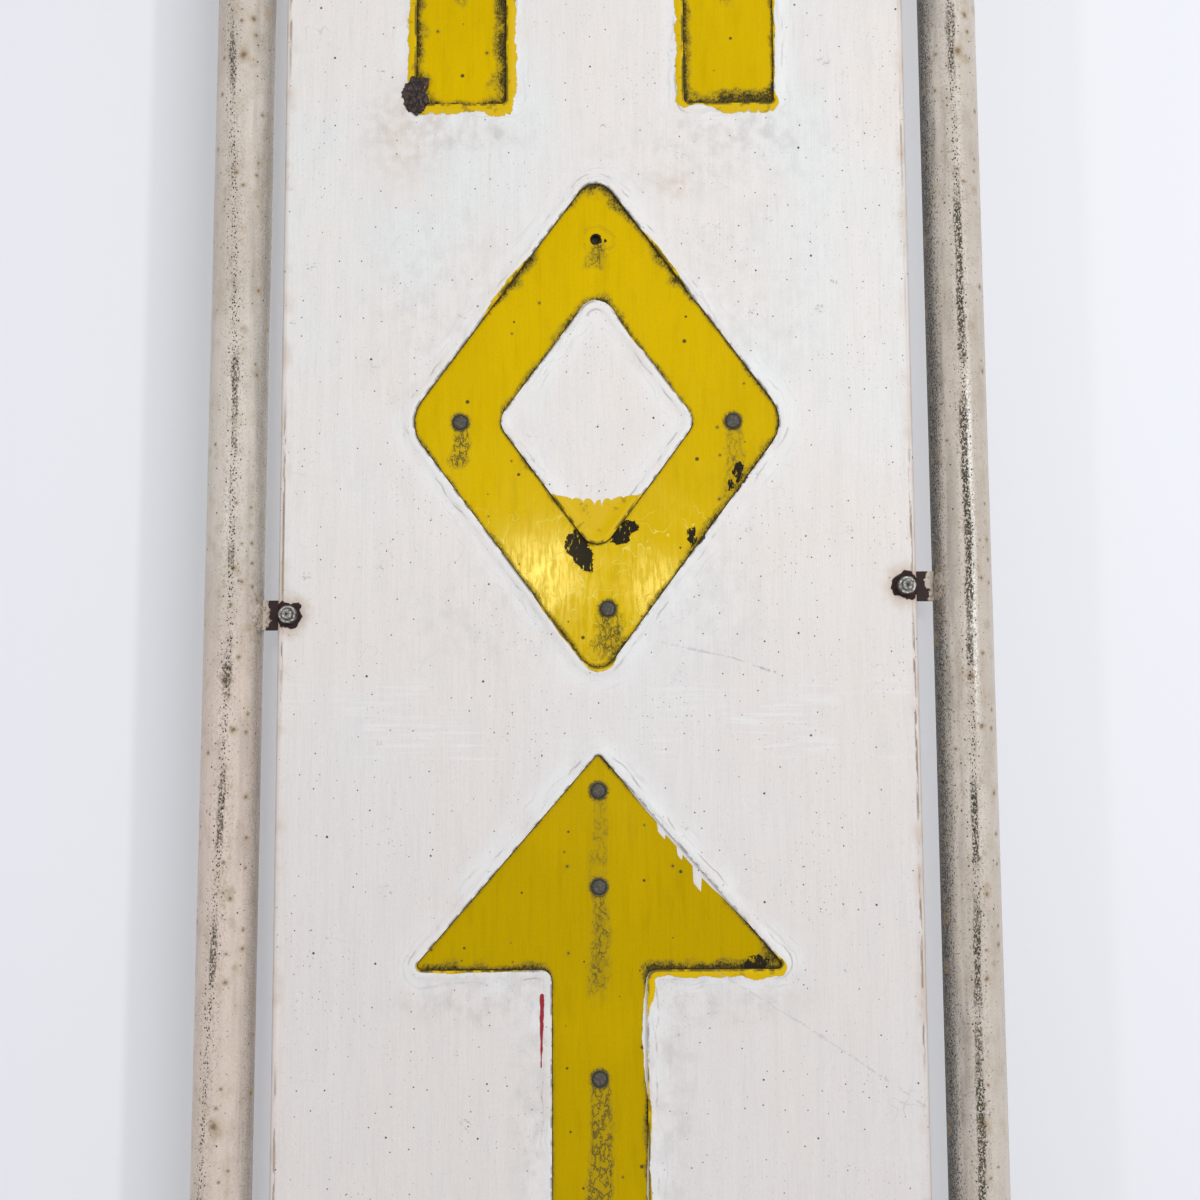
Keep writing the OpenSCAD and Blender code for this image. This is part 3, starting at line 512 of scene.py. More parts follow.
def oldCream(name, axis, seam, grain="Z", lean=0.0, tone=0.95, dirtAndShade=0.7, dirtAndShadeSide=-1, rough=0.4, tabSide=0,
             gleam=(0.0, 0.0), marks=(1.0, 0.5), low=(1.0, 1.0, 1.0)):
    # Cream paint on a tube, where a turn is mm round it from the front. A line of pits follows the seam: its
    # turn, its swing and where along the tube it swings most. The gleam is a painted highlight, a light line
    # painted in place of a lamp's streak: how far from the seam and how strong. The marks have a strength and
    # a rareness, and low tints the paint lower down.
    f = Finish(name, toned(tone), "cream", rough, grain=grain)
    run, across = (f.x, f.z - axis) if grain == "X" else (f.z, f.x - (f.z * lean + axis))
    turn = f.math("ARCTAN2", across, f.y * -1) * tubeRadius
    f.sheet = f.join(turn, run, 0)
    f.layer(f.patch(70, 0.42, 0.62, shift=axis, most=0.8), "pale")
    f.shade(f.z.rise(1180, 1070), low)
    f.shade(f.patch(3, 0.4, 0.75, 12, 4, shift=3), 0.92)
    f.layer(f.patch(9, 0.45, 0.7, 1.4, 4, 0.6, shift=10, most=0.3), "halo")
    f.shade(f.patch(0.8, 0.42, 0.66, 1.4, 3, 0.65, shift=17), 0.9)
    f.layer(f.patch(2.2, 0.45, 0.75, 12, 4, shift=4), rough=0.5)
    f.layer(f.noise(2, 12, shift=5), lift=0.04)
    f.layer(f.noise(0.9, detail=4, shift=6), lift=0.1)
    # dirt and painted shade along one side, the side facing the panel on the uprights and the underside
    # on the arms, ending in a peppered border
    out = turn * dirtAndShadeSide + f.noise(14, 12, shift=8) * 6
    f.layer(out.rise(13, 25) * dirtAndShade, "dirtAndShade", 0.6)
    f.layer(out.rise(5, 15) * f.patch(5, 0.4, 0.7, 12, 4, shift=9) * (0.6 * dirtAndShade), "dirtAndShade", 0.6)
    pepper = f.noise(0.8, 1.4, 3, 0.65, shift=12) + out.rise(8, 24, -0.16, 0.03)
    f.layer(pepper.rise(0.5, 0.57) * min(1, 1.4 * dirtAndShade ** 2), "black", 0.7, -0.15)
    f.layer(out.rise(14, 24) * f.patch(0.8, 0.55, 0.6, 1.4, 3, 0.65, shift=11) * (0.7 * dirtAndShade ** 2), "pale")
    rustSpots(f)
    for z in boltsBeside(tabSide):  # stains and dirt round the tabs' welds
        close = abs(f.z - z).rise(30, 8) * (turn * tabSide).rise(9, 20)
        f.layer(close * f.patch(5, 0.44, 0.62, detail=5, rough=0.6, shift=20) * 0.7, "halo", 0.6)
        f.layer(close * f.patch(3, 0.5, 0.6, 1.4, 5, 0.65, shift=21) * 0.6, "dirtAndShade", 0.7)
    # the seam, with a painted highlight beside it: a light line standing in for a lamp's streak
    start, swing, middle = seam
    line = f.math("COSINE", (run - middle) / 180) * swing + (start - 1.5) + f.noise(60, detail=2, shift=9) * 3
    worn = abs(turn - line - gleam[0]).rise(2.6, 0.5) * f.patch(0.8, 0.44, 0.56, 1.4, 3, 0.7, shift=18)
    level = f.z.rise(1060, 1110) * f.z.rise(1330, 1270) * f.patch(90, 0.38, 0.52, detail=2, shift=19)
    f.layer(worn * level * gleam[1], "bright", 0.2)
    off = abs(turn - line)
    f.layer(off.rise(11, 2) * f.patch(1.1, 0.53, 0.6, 1.4, 4, 0.7, shift=15) * 0.45, "speck", 0.7)
    # along it large ragged marks in some stretches, small round pits in all
    bare = f.patch(46, marks[1], marks[1] + 0.12, detail=2, shift=13)
    ragged = f.patch(1.3, 0.47, 0.53, 1.4, 5, 0.7, shift=14) * marks[0]
    wide = f.noise(17, 1.4, 2, shift=23) * 4.4 + off
    f.layer(wide.rise(4.9, 3.6) * bare * ragged, f.mix(f.noise(6, shift=22), "olive", "black"), 0.8, -0.2)
    f.layer(off.rise(1.8, 1.2) * f.dots(1.4, 0.2, 0.36, 0.8, 1.4, shift=16), "black", 0.8, -0.3)
    f.layer(off.rise(8, 3) * f.dots(2.7, 0.12, 0.25, 0.3, shift=17), "black", 0.8, -0.2)
    return f.done()


def weldedTabs(name, edge, side):
    # Cream paint that has rusted away next to the panel
    f = Finish(name, {**tubePaint, "rust": whitePaint["rust"]}, "cream", 0.5)
    f.wire("Specular IOR Level", 0.2)
    f.layer(f.patch(3, 0.5, 0.62, detail=4, shift=1, most=0.7), "tan", 0.7)
    f.layer(f.dots(3, 0.12, 0.25, 0.4, shift=2), "umber", 0.8)
    bare = (f.noise(6, detail=4, rough=0.6, shift=3) * 11 + (f.x - edge) * side).rise(11.6, 11.0)
    f.layer(bare, "rust", 0.65, 0.25)
    f.layer(bare * f.noise(1.6, detail=4, shift=4), lift=0.4)
    return f.done()


def paintedSteel(name):
    # The tubes' cream paint on plates, gussets, caps and frame welds
    f = Finish(name, tubePaint, "cream", 0.42)
    f.layer(f.patch(40, 0.42, 0.62, shift=2, most=0.8), "pale")
    f.shade(f.patch(4, 0.4, 0.75, 4, 4, shift=3), 0.88)
    f.layer(f.noise(1.2, detail=4, shift=6), lift=0.09)
    rustSpots(f)
    f.layer(f.patch(9, 0.64, 0.68, detail=5, rough=0.62, shift=8, most=0.8), "brown", 0.75, -0.1)
    return f.done()


def weldPaint(name, tone, dirtAndShade):
    # Cream paint over a tab's weld, with brown stains and dirt in its hollows
    f = Finish(name, toned(tone), "cream", 0.45)
    f.layer(f.patch(4, 0.45, 0.62, detail=5, rough=0.6, shift=1, most=0.75), "halo", 0.6)
    f.layer(f.patch(2.2, 0.56, 0.64, detail=5, rough=0.6, shift=2, most=0.8), "burnt", 0.75)
    f.layer(f.patch(1.4, 0.52, 0.6, detail=4, shift=3, most=dirtAndShade), "dirtAndShade", 0.7, -0.1)
    f.layer(f.noise(0.9, shift=4), lift=0.12)
    return f.done()


def plainFinish(name, colour, rough):
    # A plain surface with mottling and pits
    f = Finish(name, {}, colour, rough)
    f.shade(f.patch(6, 0.4, 0.7, detail=4), 0.8)
    f.layer(f.noise(1.5), lift=0.06)
    return f.done()


zinc = {
    "base": (0.10, 0.095, 0.085), "dull": (0.24, 0.235, 0.22), "worn": (0.60, 0.59, 0.56),
    "hollow": (0.03, 0.027, 0.025), "foot": (0.05, 0.035, 0.03),
    # the pale rings are worn zinc and painted highlight
    "rings": ((4.3, 0.5), (2.3, 0.6)),  # radius and width of the raised edges, mm
}


def oldNuts():
    # Pale rings on the raised edges, partly worn zinc and partly painted highlight; rust and dirt everywhere
    # else
    f = Finish("wornZincAndHighlights", zinc, "base", 0.55, 0.3)
    off = f.noise(1.6, detail=4, shift=3) * 1.6 + (f.apart(bolts) - 0.8)
    f.layer(f.patch(2, 0.4, 0.6, detail=4, shift=6), "dull", 0.45)
    broken = f.patch(1.7, 0.46, 0.55, detail=4, rough=0.65, shift=2)
    for radius, width in zinc["rings"]:
        f.layer(abs(off - radius).rise(width, width / 3) * broken, "worn", 0.35)
    f.layer(off.rise(1.1, 0.6), "hollow", 0.7)
    f.layer(off.rise(4.9, 5.3), "foot", 0.8)
    f.layer(f.noise(1.2), lift=0.12)
    return f.done()


rivetMetal = {"base": (0.055, 0.049, 0.040), "worn": (0.115, 0.107, 0.092), "rim": (0.03, 0.027, 0.02)}


def oldRivets():
    f = Finish("tarnishedRivets", rivetMetal, "base", 0.55, 0.15)
    off = f.apart([spot for name in shapeNames for spot in rivets[name]])
    f.layer(f.noise(1.1, detail=4, shift=1), lift=0.2)
    f.layer(f.patch(1.3, 0.5, 0.62, detail=4, shift=2, most=0.7), "worn")
    f.layer((f.noise(1.5, detail=4, shift=3) * 2.4 + off).rise(4.2, 5.2), "rim", 0.8)
    return f.done()


def middleOf(node, axis):
    low, high = boxOf(node)
    return (low[axis] + high[axis]) / 2


def tubeMiddle(node, low, high):
    # Middle of the part of a tube that lies between two heights
    points = cornersOf(node)
    across = points[(points[:, 2] > low) & (points[:, 2] < high), 0]
    return (across.min() + across.max()) / 2


rightAxis = middleOf("right_upright", 0)
armHigh = middleOf("upper_arm", 2)
# the left upright leans, so its two ends are measured
leftLow = tubeMiddle("left_upright", -math.inf, 60)
leftHigh = tubeMiddle("left_upright", panelHead, math.inf)
leftLean = (leftHigh - leftLow) / armHigh
creamSteel = paintedSteel("creamSteel")
brushed, whiteSheet = brushedWhite("brushedWhite", True), brushedWhite("whiteSheet", False)
enamel = oldYellow("oldYellow")
nodeLooks = {
    "left_upright": oldCream("leftUprightPaint", leftLow, (-5.1, 7.1, 1197), lean=leftLean, tone=1.09,
                             dirtAndShade=0.42, dirtAndShadeSide=1, rough=0.5, tabSide=1, gleam=(-2.8, 0.45),
                             marks=(0.8, 0.5), low=(1.13, 1.07, 1.07)),
    "right_upright": oldCream("rightUprightPaint", rightAxis, (-1.9, 2, 1197), tone=1.04, dirtAndShade=0.8, rough=0.3,
                              tabSide=-1, gleam=(3.0, 0.9), marks=(1.0, 0.4)),
    "lower_arm": oldCream("lowerArmPaint", 0.0, (6, 2, 300), "X"),
    "upper_arm": oldCream("upperArmPaint", armHigh, (6, 2, 200), "X"),
    "left_tabs": weldedTabs("leftTabPaint", panelLeft, -1),
    "right_tabs": weldedTabs("rightTabPaint", panelRight, 1),
}
slotLooks = {
    "tube_paint": creamSteel,
    "white_paint": whiteSheet,
    "yellow_enamel": plainFinish("plateEdges", (0.05, 0.036, 0.012), 0.7),
    "core_steel": plainFinish("coreSteel", (0.018, 0.015, 0.013), 0.8),
    "zinc": oldNuts(),
    "rivet_metal": oldRivets(),
    "rust": plainFinish("blackRust", whitePaint["rust"], 0.75),
}
for part in frame["record"]["subparts"]:
    mesh = cad[part["node"]].data
    mesh.materials.clear()
    mesh.materials.append(nodeLooks.get(part["node"], slotLooks[part["material_slot"]]))

print("outlines")


def closedLoops(node, depth):
    # Outlines of the flat faces at this depth, as lists of (x, z)
    mesh = cad[node].data
    used = set()
    for face in mesh.polygons:
        points = [mesh.vertices[i].co / mm for i in face.vertices]
        if all(abs(p.y - depth) < near for p in points):
            keys = [(round(p.x, 2), round(p.z, 2)) for p in points]
            used.update((a, b) for a, b in zip(keys, keys[1:] + keys[:1]) if a != b)
    follow = {a: b for a, b in used if (b, a) not in used}
    loops = []
    while follow:
        start, point = follow.popitem()
        loop = [start]
        while point != start:
            loop.append(point)
            point = follow.pop(point)
        loops.append(np.array(loop))
    return loops


def area(loop):
    x, z = loop[:, 0], loop[:, 1]
    return abs((x * np.roll(z, -1) - z * np.roll(x, -1)).sum()) / 2


def middle(loop):
    return (loop.min(0) + loop.max(0)) / 2


def circle(centre, radius, count):
    turns = np.linspace(0, 2 * math.pi, count, endpoint=False)
    return centre + radius * np.stack([np.cos(turns), np.sin(turns)], 1)


def spaced(loop, step):
    # The same closed outline with points no further apart than step
    points = []
    for a, b in zip(loop, np.roll(loop, -1, 0)):
        count = max(1, math.ceil(np.linalg.norm(b - a) / step))
        points += [a + (b - a) * k / count for k in range(count)]
    return np.array(points)


def rimOutlines():
    # The cut-outs' own outlines: of each raised rim's two loops, whose middles are close, the smaller
    found = []
    for loop in sorted(closedLoops("front_face", -rimDepth), key=area):
        if not any(np.abs(middle(loop) - middle(f)).max() < 20 for f in found):
            found.append(loop)
    return sorted(found, key=lambda f: -middle(f)[1])


cutouts = dict(zip(shapeNames, rimOutlines()))
islands = [max(closedLoops("front_" + name + "_island", -rimDepth), key=area) for name in ("lozenge", "key")]
print("cut-outs", [len(c) for c in cutouts.values()], "islands", [len(i) for i in islands])


class Outlines:
    # Distances from points to a set of closed outlines
    batch = 3000  # points worked on at a time

    def __init__(self, loops):
        self.a = np.concatenate(loops)
        self.span = np.concatenate([np.roll(l, -1, 0) - l for l in loops])
        self.b = np.concatenate([np.roll(l, -1, 0) for l in loops])
        self.size = (self.span ** 2).sum(1)

    def parts(self, points):
        return np.array_split(points, max(1, len(points) // self.batch))

    def nearest(self, points):
        # Distance, and the way towards the nearest place on the outlines
        found = []
        for part in self.parts(points):
            t = ((part[:, None] - self.a) * self.span).sum(2) / self.size
            gap = self.a + self.span * np.clip(t, 0, 1)[..., None] - part[:, None]
            best = (gap ** 2).sum(2).argmin(1)
            found.append(gap[np.arange(len(part)), best])
        gap = np.concatenate(found)
        far = np.sqrt((gap ** 2).sum(1))
        return far, gap / np.maximum(far, 1e-6)[:, None]

    def inside(self, points):
        result = []
        for part in self.parts(points):
            z = part[:, 1][:, None]
            crosses = (self.a[:, 1] > z) != (self.b[:, 1] > z)
            with np.errstate(divide="ignore", invalid="ignore"):
                at = self.a[:, 0] + (z - self.a[:, 1]) * self.span[:, 0] / self.span[:, 1]
            result.append((crosses & (part[:, 0][:, None] < at)).sum(1) % 2 == 1)
        return np.concatenate(result)


edges = Outlines([*cutouts.values(), *islands])


def besides(loop, steps):
    # Points beside an outline at these distances, on both sides, where nothing else is much nearer
    ahead = np.roll(loop, -1, 0) - np.roll(loop, 1, 0)
    normal = np.stack([ahead[:, 1], -ahead[:, 0]], 1) / np.linalg.norm(ahead, axis=1)[:, None]
    kept = []
    for step in steps:
        for side in (-1, 1):
            row = loop + normal * step * side
            kept.append(row[edges.nearest(row)[0] > step * 0.93])
    return np.concatenate(kept)


def gridPoints(low, high, step, clear):
    # Staggered points over a rectangle, clear of the outlines
    xs = np.arange(low[0] + step / 2, high[0], step)
    zs = np.arange(low[1] + step / 2, high[1], step)
    grid = np.array([(x + (step / 2 if k % 2 else 0), z) for k, z in enumerate(zs) for x in xs])
    grid = grid[grid[:, 0] < high[0] - 0.4]  # the shifted rows end inside too
    return grid[edges.nearest(grid)[0] > clear]


def triangles(points, loops, keep):
    # Fills between the loops through all the points, and keeps the triangles that keep() accepts
    corners, bars = list(points), []
    for loop in loops:
        first = len(corners)
        corners += list(loop)
        bars += [(first + k, first + (k + 1) % len(loop)) for k in range(len(loop))]
    flat, bars, faces = delaunay_2d_cdt([Vector(c) for c in corners], bars, [], 0, 1e-4)[:3]
    flat, faces = np.array([tuple(v) for v in flat]), np.array(faces)
    faces = faces[keep(flat[faces].mean(1))]
    used = np.unique(faces)
    renumber = np.full(len(flat), -1)
    renumber[used] = np.arange(len(used))
    return flat[used], renumber[faces]


def openedUp(flat, far, keep, inset):
    # Moves the points that lie on the outlines a little into the openings
    rim = np.where(far < near)[0]
    moved = flat.copy()
    for way in circle((0, 0), 1, 16):  # along a straight side the ways out add up to 5
        moved[rim] += np.where(keep(flat[rim] + 0.5 * way), 0, 1)[:, None] * way * inset / 5
    return moved


def newPiece(name, points, faces):
    # A mesh piece from points in millimetres, left active and selected alone
    mesh = bpy.data.meshes.new(name)
    mesh.from_pydata([Vector(p) * mm for p in points], [], faces)
    piece = bpy.data.objects.new(name, mesh)
    bpy.context.scene.collection.objects.link(piece)
    choose(piece)
    return piece


def choose(piece):
    bpy.ops.object.select_all(action="DESELECT")
    bpy.context.view_layer.objects.active = piece
    piece.select_set(True)


def finishPiece(piece, material, thickness=None):
    choose(piece)
    if thickness:
        solid = piece.modifiers.new("thickness", "SOLIDIFY")
        solid.thickness = thickness * mm
        solid.offset = -1
        bpy.ops.object.modifier_apply(modifier=solid.name)
    bpy.ops.object.shade_smooth_by_angle(angle=math.radians(smoothAngle))
    piece.data.materials.clear()
    piece.data.materials.append(material)
    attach(piece, "root")
    return piece


def turnOver(piece):
    # From the front of the panel to its back
    piece.data.transform(Matrix.Scale(-1, 4, Vector((0, 1, 0))))
    piece.data.flip_normals()


def skin(name, flat, depth, faces, wallDepth, values, material, thickness):
    # A coat of paint: a sheet at the given depths with its edges turned down to wallDepth
    faces = [tuple(int(i) for i in f) for f in faces]
    used = {(a, b) for f in faces for a, b in zip(f, f[1:] + f[:1])}
    points = [(x, -d, z) for (x, z), d in zip(flat, depth)]
    if wallDepth is not None:
        onEdge = values["edge"] < near
        rim = [(a, b) for a, b in used if (b, a) not in used and onEdge[a] and onEdge[b]]
        lower = {}
        for a in sorted({i for pair in rim for i in pair}):
            lower[a] = len(points)
            points.append((flat[a][0], -wallDepth, flat[a][1]))
        faces += [(b, a, lower[a], lower[b]) for a, b in rim]
        values = {n: np.concatenate([v, v[list(lower)]]) for n, v in values.items()}
    piece = newPiece(name, points, faces)
    # the front looks towards -Y
    if sum(p.normal.y for p in list(piece.data.polygons)[:200]) > 0:
        piece.data.flip_normals()
    for label, v in values.items():
        piece.data.attributes.new(label, "FLOAT", "POINT").data.foreach_set("value", v.astype(np.float32))
    return finishPiece(piece, material, thickness)


def patches(points, spots):
    # Highest of several soft ellipses: (x, z, half width, half height, value), each full over its inner half
    # and gone at one and a half times its size
    result = np.zeros(len(points))
    for x, z, w, h, value in spots:
        r = np.sqrt(((points[:, 0] - x) / w) ** 2 + ((points[:, 1] - z) / h) ** 2)
        result = np.maximum(result, value * np.clip(1.6 - 1.1 * r, 0, 1))
    return result


def placed(**shapes):
    # Moves spots from each shape's own frame, with its origin at the middle of its foot, to the panel
    return [(middle(cutouts[name])[0] + x, cutouts[name][:, 1].min() + z, *more)
            for name, spots in shapes.items() for x, z, *more in spots]


print("white coats")
white = {
    "spacing": 4.6, "outlineStep": 2.6, "thickness": 0.12, "rimWidth": 2.75, "rimFoot": 5.6, "bead": 0.22,
    "rows": (0.5, 1.4, 4.0), "gridGap": 1.6,  # more rows of points beside the outlines, then the grid
    "wallInset": 0.12,  # how far the turned-down edges stand off the cut-outs' sides
    "edgeInset": 2.4,  # from the panel's outline
    # size of the brush's unevenness in mm, the rim's height as a share of the solid's, and what both vary by
    "wobble": 14, "rimShare": 1.03, "rimVaries": 0.05, "beadVaries": 0.5,
    # yellow brushed over the rim: x, z, half width, half height and how far it reaches
    "spills": placed(
        house=[(-108, 55, 8, 80, 4.4), (-50, 20, 8, 90, 6.0), (-92, -2, 26, 9, 6.6), (-56, -4, 10, 8, 8),
               (50, 40, 8, 90, 4.4), (90, -3, 22, 8, 6.0), (112, 60, 6, 50, 1.2)],
        lozenge=[(-62, 225, 26, 16, 1.8), (40, 240, 20, 14, 1.2), (0, 86, 32, 11.5, 30),
                 (-30, 20, 30, 18, 0.9), (8, -2, 16, 6, 2.4), (30, 205, 12, 14, 2.6)],
        arrow=[(74, 163, 44, 9, 4.6), (30, 156, 10, 12, 3.2), (-80, 163, 30, 6, 1.2), (30, 60, 5, 50, 1.4)],
        star=[(-40, 60, 22, 22, 3), (70, 190, 30, 12, 4)],
        key=[(40, 26, 40, 10, 4), (-30, 160, 16, 30, 3)]),
    "smudges": placed(
        house=[(-80, -16, 40, 14, 1.0), (82, -18, 44, 18, 1.0), (104, -14, 14, 10, 1.0)],
        lozenge=[(55, 40, 40, 40, 0.5), (-70, 30, 40, 30, 0.5), (-90, 215, 40, 60, 0.5),
                 (85, 220, 50, 60, 0.4), (62, 300, 60, 20, 0.6)],
        arrow=[(-64, 150, 50, 14, 1.0), (64, 150, 50, 14, 0.9), (-38, 90, 12, 60, 0.7),
               (40, 90, 14, 60, 0.8)],
        star=[(0, 40, 90, 30, 0.7)],
        key=[(0, -14, 60, 14, 0.8)]),
    "stains": placed(lozenge=[(46, 284, 9, 6, 0.8), (52, 292, 6, 5, 0.5)], house=[(-112, -16, 26, 26, 0.6)]),
    "chips": placed(
        lozenge=[(84, 113, 5, 10, 0.66), (80, 106, 4, 6, 0.6), (58, 77, 5, 9, 0.62), (-60, 220, 6, 5, 0.4)],
        star=[(-90, 160, 8, 8, 0.6)],
        key=[(62, 200, 8, 10, 0.6)]),
}


def whiteCoats():
    w = white
    low = np.array((panelLeft, panelFoot)) + w["edgeInset"]
    high = np.array((panelRight, panelHead)) - w["edgeInset"]
    border = spaced(np.array([low, (high[0], low[1]), high, (low[0], high[1])]), w["spacing"])
    loops = [spaced(l, w["outlineStep"]) for l in [*cutouts.values(), *islands]]
    rows = sorted((*w["rows"], w["rimWidth"], w["rimFoot"]))
    points = [besides(l, rows) for l in loops]
    points.append(gridPoints(low, high, w["spacing"], w["rimFoot"] + w["gridGap"]))
    cuts, whole = Outlines(list(cutouts.values())), Outlines(islands)

    def keep(centres):
        return ~cuts.inside(centres) | whole.inside(centres)

    flat, faces = triangles(np.concatenate(points), loops + [border], keep)
    far = edges.nearest(flat)[0]
    flat = openedUp(flat, far, keep, w["wallInset"])
    rise = np.clip((w["rimFoot"] - far) / (w["rimFoot"] - w["rimWidth"]), 0, 1)
    rise = rise * rise * (3 - 2 * rise)
    wobble = np.array([noise.noise(Vector((x / w["wobble"], 3, z / w["wobble"]))) for x, z in flat])
    swell = np.sin(math.pi * np.clip(far / w["rimFoot"], 0, 1))
    bead = w["bead"] * swell * (1 + w["beadVaries"] * wobble)
    height = (rimDepth - faceDepth) * rise * (w["rimShare"] + w["rimVaries"] * wobble) + bead
    marks = {"spill": "spills", "smudge": "smudges", "stain": "stains", "chip": "chips"}
    values = {"edge": far, **{label: patches(flat, w[name]) for label, name in marks.items()}}
    depth = faceDepth + w["thickness"] + height
    coat = skin("frontWhiteCoat", flat, depth, faces, plateDepth + coatGap, values, brushed,
                w["thickness"] - coatGap)
    back = coat.copy()
    back.data = coat.data.copy()
    back.name = "backWhiteCoat"
    bpy.context.scene.collection.objects.link(back)
    turnOver(back)
    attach(back, "root")
    print("white coat", len(coat.data.polygons), "faces")


whiteCoats()

print("yellow coats")
yellow = {
    "spacing": 3.4, "outlineStep": 2.6, "thickness": 0.12, "holeRadius": 2.6,
    "holeGap": 0.8, "edgeGap": 0.35,  # no other points this close to a hole or an outline
    "rows": (0.4, 1.2, 2.4), "rings": (5.2, 6.8, 8.6),  # points beside the outlines, and round the rivets
    # a pilot hole, painted only, black as painted shade: where from the lost rivet's hole, how much smaller,
    # and points round it
    "pilotHole": (5.6, -1.0), "pilotSmaller": 2.5, "pilotRings": (0, 0.7, 1.5),
    # dark along the edges, dirt and painted shade: the share left of an edge is painted shade under the
    # right-hand walls
    "dirtAndShade": (0.08, 0.5, 0.22),  # held everywhere, above an edge, and left of an edge
    "laps": placed(
        arrow=[(30, 128, 7, 26, 5), (30, 40, 6, 30, 1.6)],
        lozenge=[(28, 216, 26, 10, 1.4), (0, 215, 26, 8, 1.2)],
        star=[(20, 60, 20, 20, 3)],
        key=[(0, 240, 30, 20, 3)]),
    "chips": placed(
        lozenge=[(-12, 72, 7, 8, 0.8), (-8, 64, 6, 7, 0.76), (-4, 57, 3, 5, 0.6), (13, 76, 7, 5, 0.76),
                 (19, 82, 6, 4, 0.66), (82, 113, 4, 8, 0.6), (78, 106, 3, 5, 0.56), (55, 76, 4, 7, 0.56)],
        arrow=[(88, 168, 10, 7, 0.5)],
        star=[(60, 40, 14, 12, 0.6), (-70, 190, 10, 10, 0.6)],
        key=[(-20, 20, 10, 14, 0.6), (60, 80, 12, 8, 0.6)]),
    # where more dirt has settled
    "soot": placed(
        house=[(-103, 40, 9, 80, 0.75), (-54, 50, 7, 90, 1.4), (-56, 6, 10, 16, 1.8), (82, 1, 44, 8, 2.0),
               (54, 40, 5, 80, 0.6), (-102, 6, 10, 14, 1.4)],
        lozenge=[(20, 285, 34, 16, 1.1), (50, 240, 16, 20, 0.7), (0, 212, 24, 10, 0.6),
                 (-50, 232, 20, 14, 0.8)],
        arrow=[(98, 166, 16, 9, 1.2), (60, 164, 50, 6, 0.7)]),
    # strength, length and half width of the run below each fixing, in mm; the others run as the last one
    "runs": {"house": [(0.5, 30, 4)], "star": [(0.6, 26, 4)], "key": [(0.6, 34, 4)],
             "lozenge": [(1.0, 24, 4), (0.42, 52, 5.5), (0.6, 26, 8), (0.6, 16, 5)],
             "arrow": [(0.4, 46, 4.5), (0.55, 60, 5), (1.0, 82, 5.5), (0.8, 20, 5)]},
}


def streaksBelow(points, name, centres):
    # Runs below the fixings, which wander, widen on the way down and fade at their end
    result = np.zeros(len(points))
    order = sorted(centres, key=lambda c: -c[1])
    if name == "lozenge":  # left, right, foot, lost
        left, *between, right = sorted(centres, key=lambda c: c[0])
        order = [left, right] + sorted(between, key=lambda c: c[1])
    runs = yellow["runs"][name]
    for k, (x, z) in enumerate(order):
        strength, length, wide = runs[min(k, len(runs) - 1)]
        down = (z - 2 - points[:, 1]) / length
        side = np.abs(points[:, 0] - x - 1.2 * np.sin(down * 5)) / (wide * (1 + 0.5 * np.clip(down, 0, 1)))
        run = np.clip(1.8 - 1.5 * side, 0, 1) * np.clip((1.15 - down) * 3, 0, 1) * (down > 0)
        result = np.maximum(result, strength * run)
    return result


def lostHole():
    # The empty hole: of the small ones in the front lozenge plate, the one that no rivet fills
    small = [middle(l) for l in closedLoops("front_lozenge_plate", -plateDepth) if np.ptp(l[:, 0]) < 8]
    return max(small, key=lambda p: min(np.hypot(*(p - r)) for r in rivets["lozenge"]))


def yellowCoat(name, side):
    y = yellow
    loop = cutouts[name]
    outer = Outlines([loop])
    inner = [i for i in islands if outer.inside(i).all()]
    loops = [spaced(l, y["outlineStep"]) for l in [loop, *inner]]
    lost = [lostHole()] if name == "lozenge" and side == "front" else []
    pilot = [h + y["pilotHole"] for h in lost]
    holes = [circle(h, y["holeRadius"], 24) for h in lost]
    points = [besides(l, y["rows"]) for l in loops]
    points.append(gridPoints(loop.min(0), loop.max(0), y["spacing"], y["spacing"]))
    points += [circle(c, r, 20) for c in rivets[name] + lost for r in y["rings"]]
    points += [circle(c, r, 8) for c in pilot for r in y["pilotRings"]]
    points = np.concatenate(points)
    for h in lost:
        points = points[np.hypot(*(points - h).T) > y["holeRadius"] + y["holeGap"]]
    points = points[edges.nearest(points)[0] > y["edgeGap"]]
    closed = Outlines(inner + holes) if inner + holes else None

    def keep(centres):
        good = outer.inside(centres)
        return good & ~closed.inside(centres) if closed else good

    flat, faces = triangles(points, loops + holes, keep)
    far, way = edges.nearest(flat)
    below, right = np.clip(-way[:, 1], 0, 1), np.clip(way[:, 0], 0, 1)

    def distance(spots):
        return np.min([np.hypot(*(flat - spot).T) for spot in spots] or [np.full(len(flat), 99.0)], 0)

    even, foot, beside = y["dirtAndShade"]
    values = {
        "edge": far, "grimeAndShade": even + foot * below ** 2 + beside * right + patches(flat, y["soot"]),
        "spill": patches(flat, y["laps"]), "chip": patches(flat, y["chips"]),
        "streak": streaksBelow(flat, name, rivets[name] + lost), "rivet": distance(rivets[name]),
        "lost": np.minimum(distance(lost), distance(pilot) + y["pilotSmaller"]),
    }
    depth = np.full(len(flat), plateDepth + y["thickness"])
    coat = skin(side + name.capitalize() + "Enamel", flat, depth, faces, None, values, enamel,
                y["thickness"] - coatGap)
    if side == "back":
        turnOver(coat)


for side in ("front", "back"):
    for name in shapeNames:
        yellowCoat(name, side)

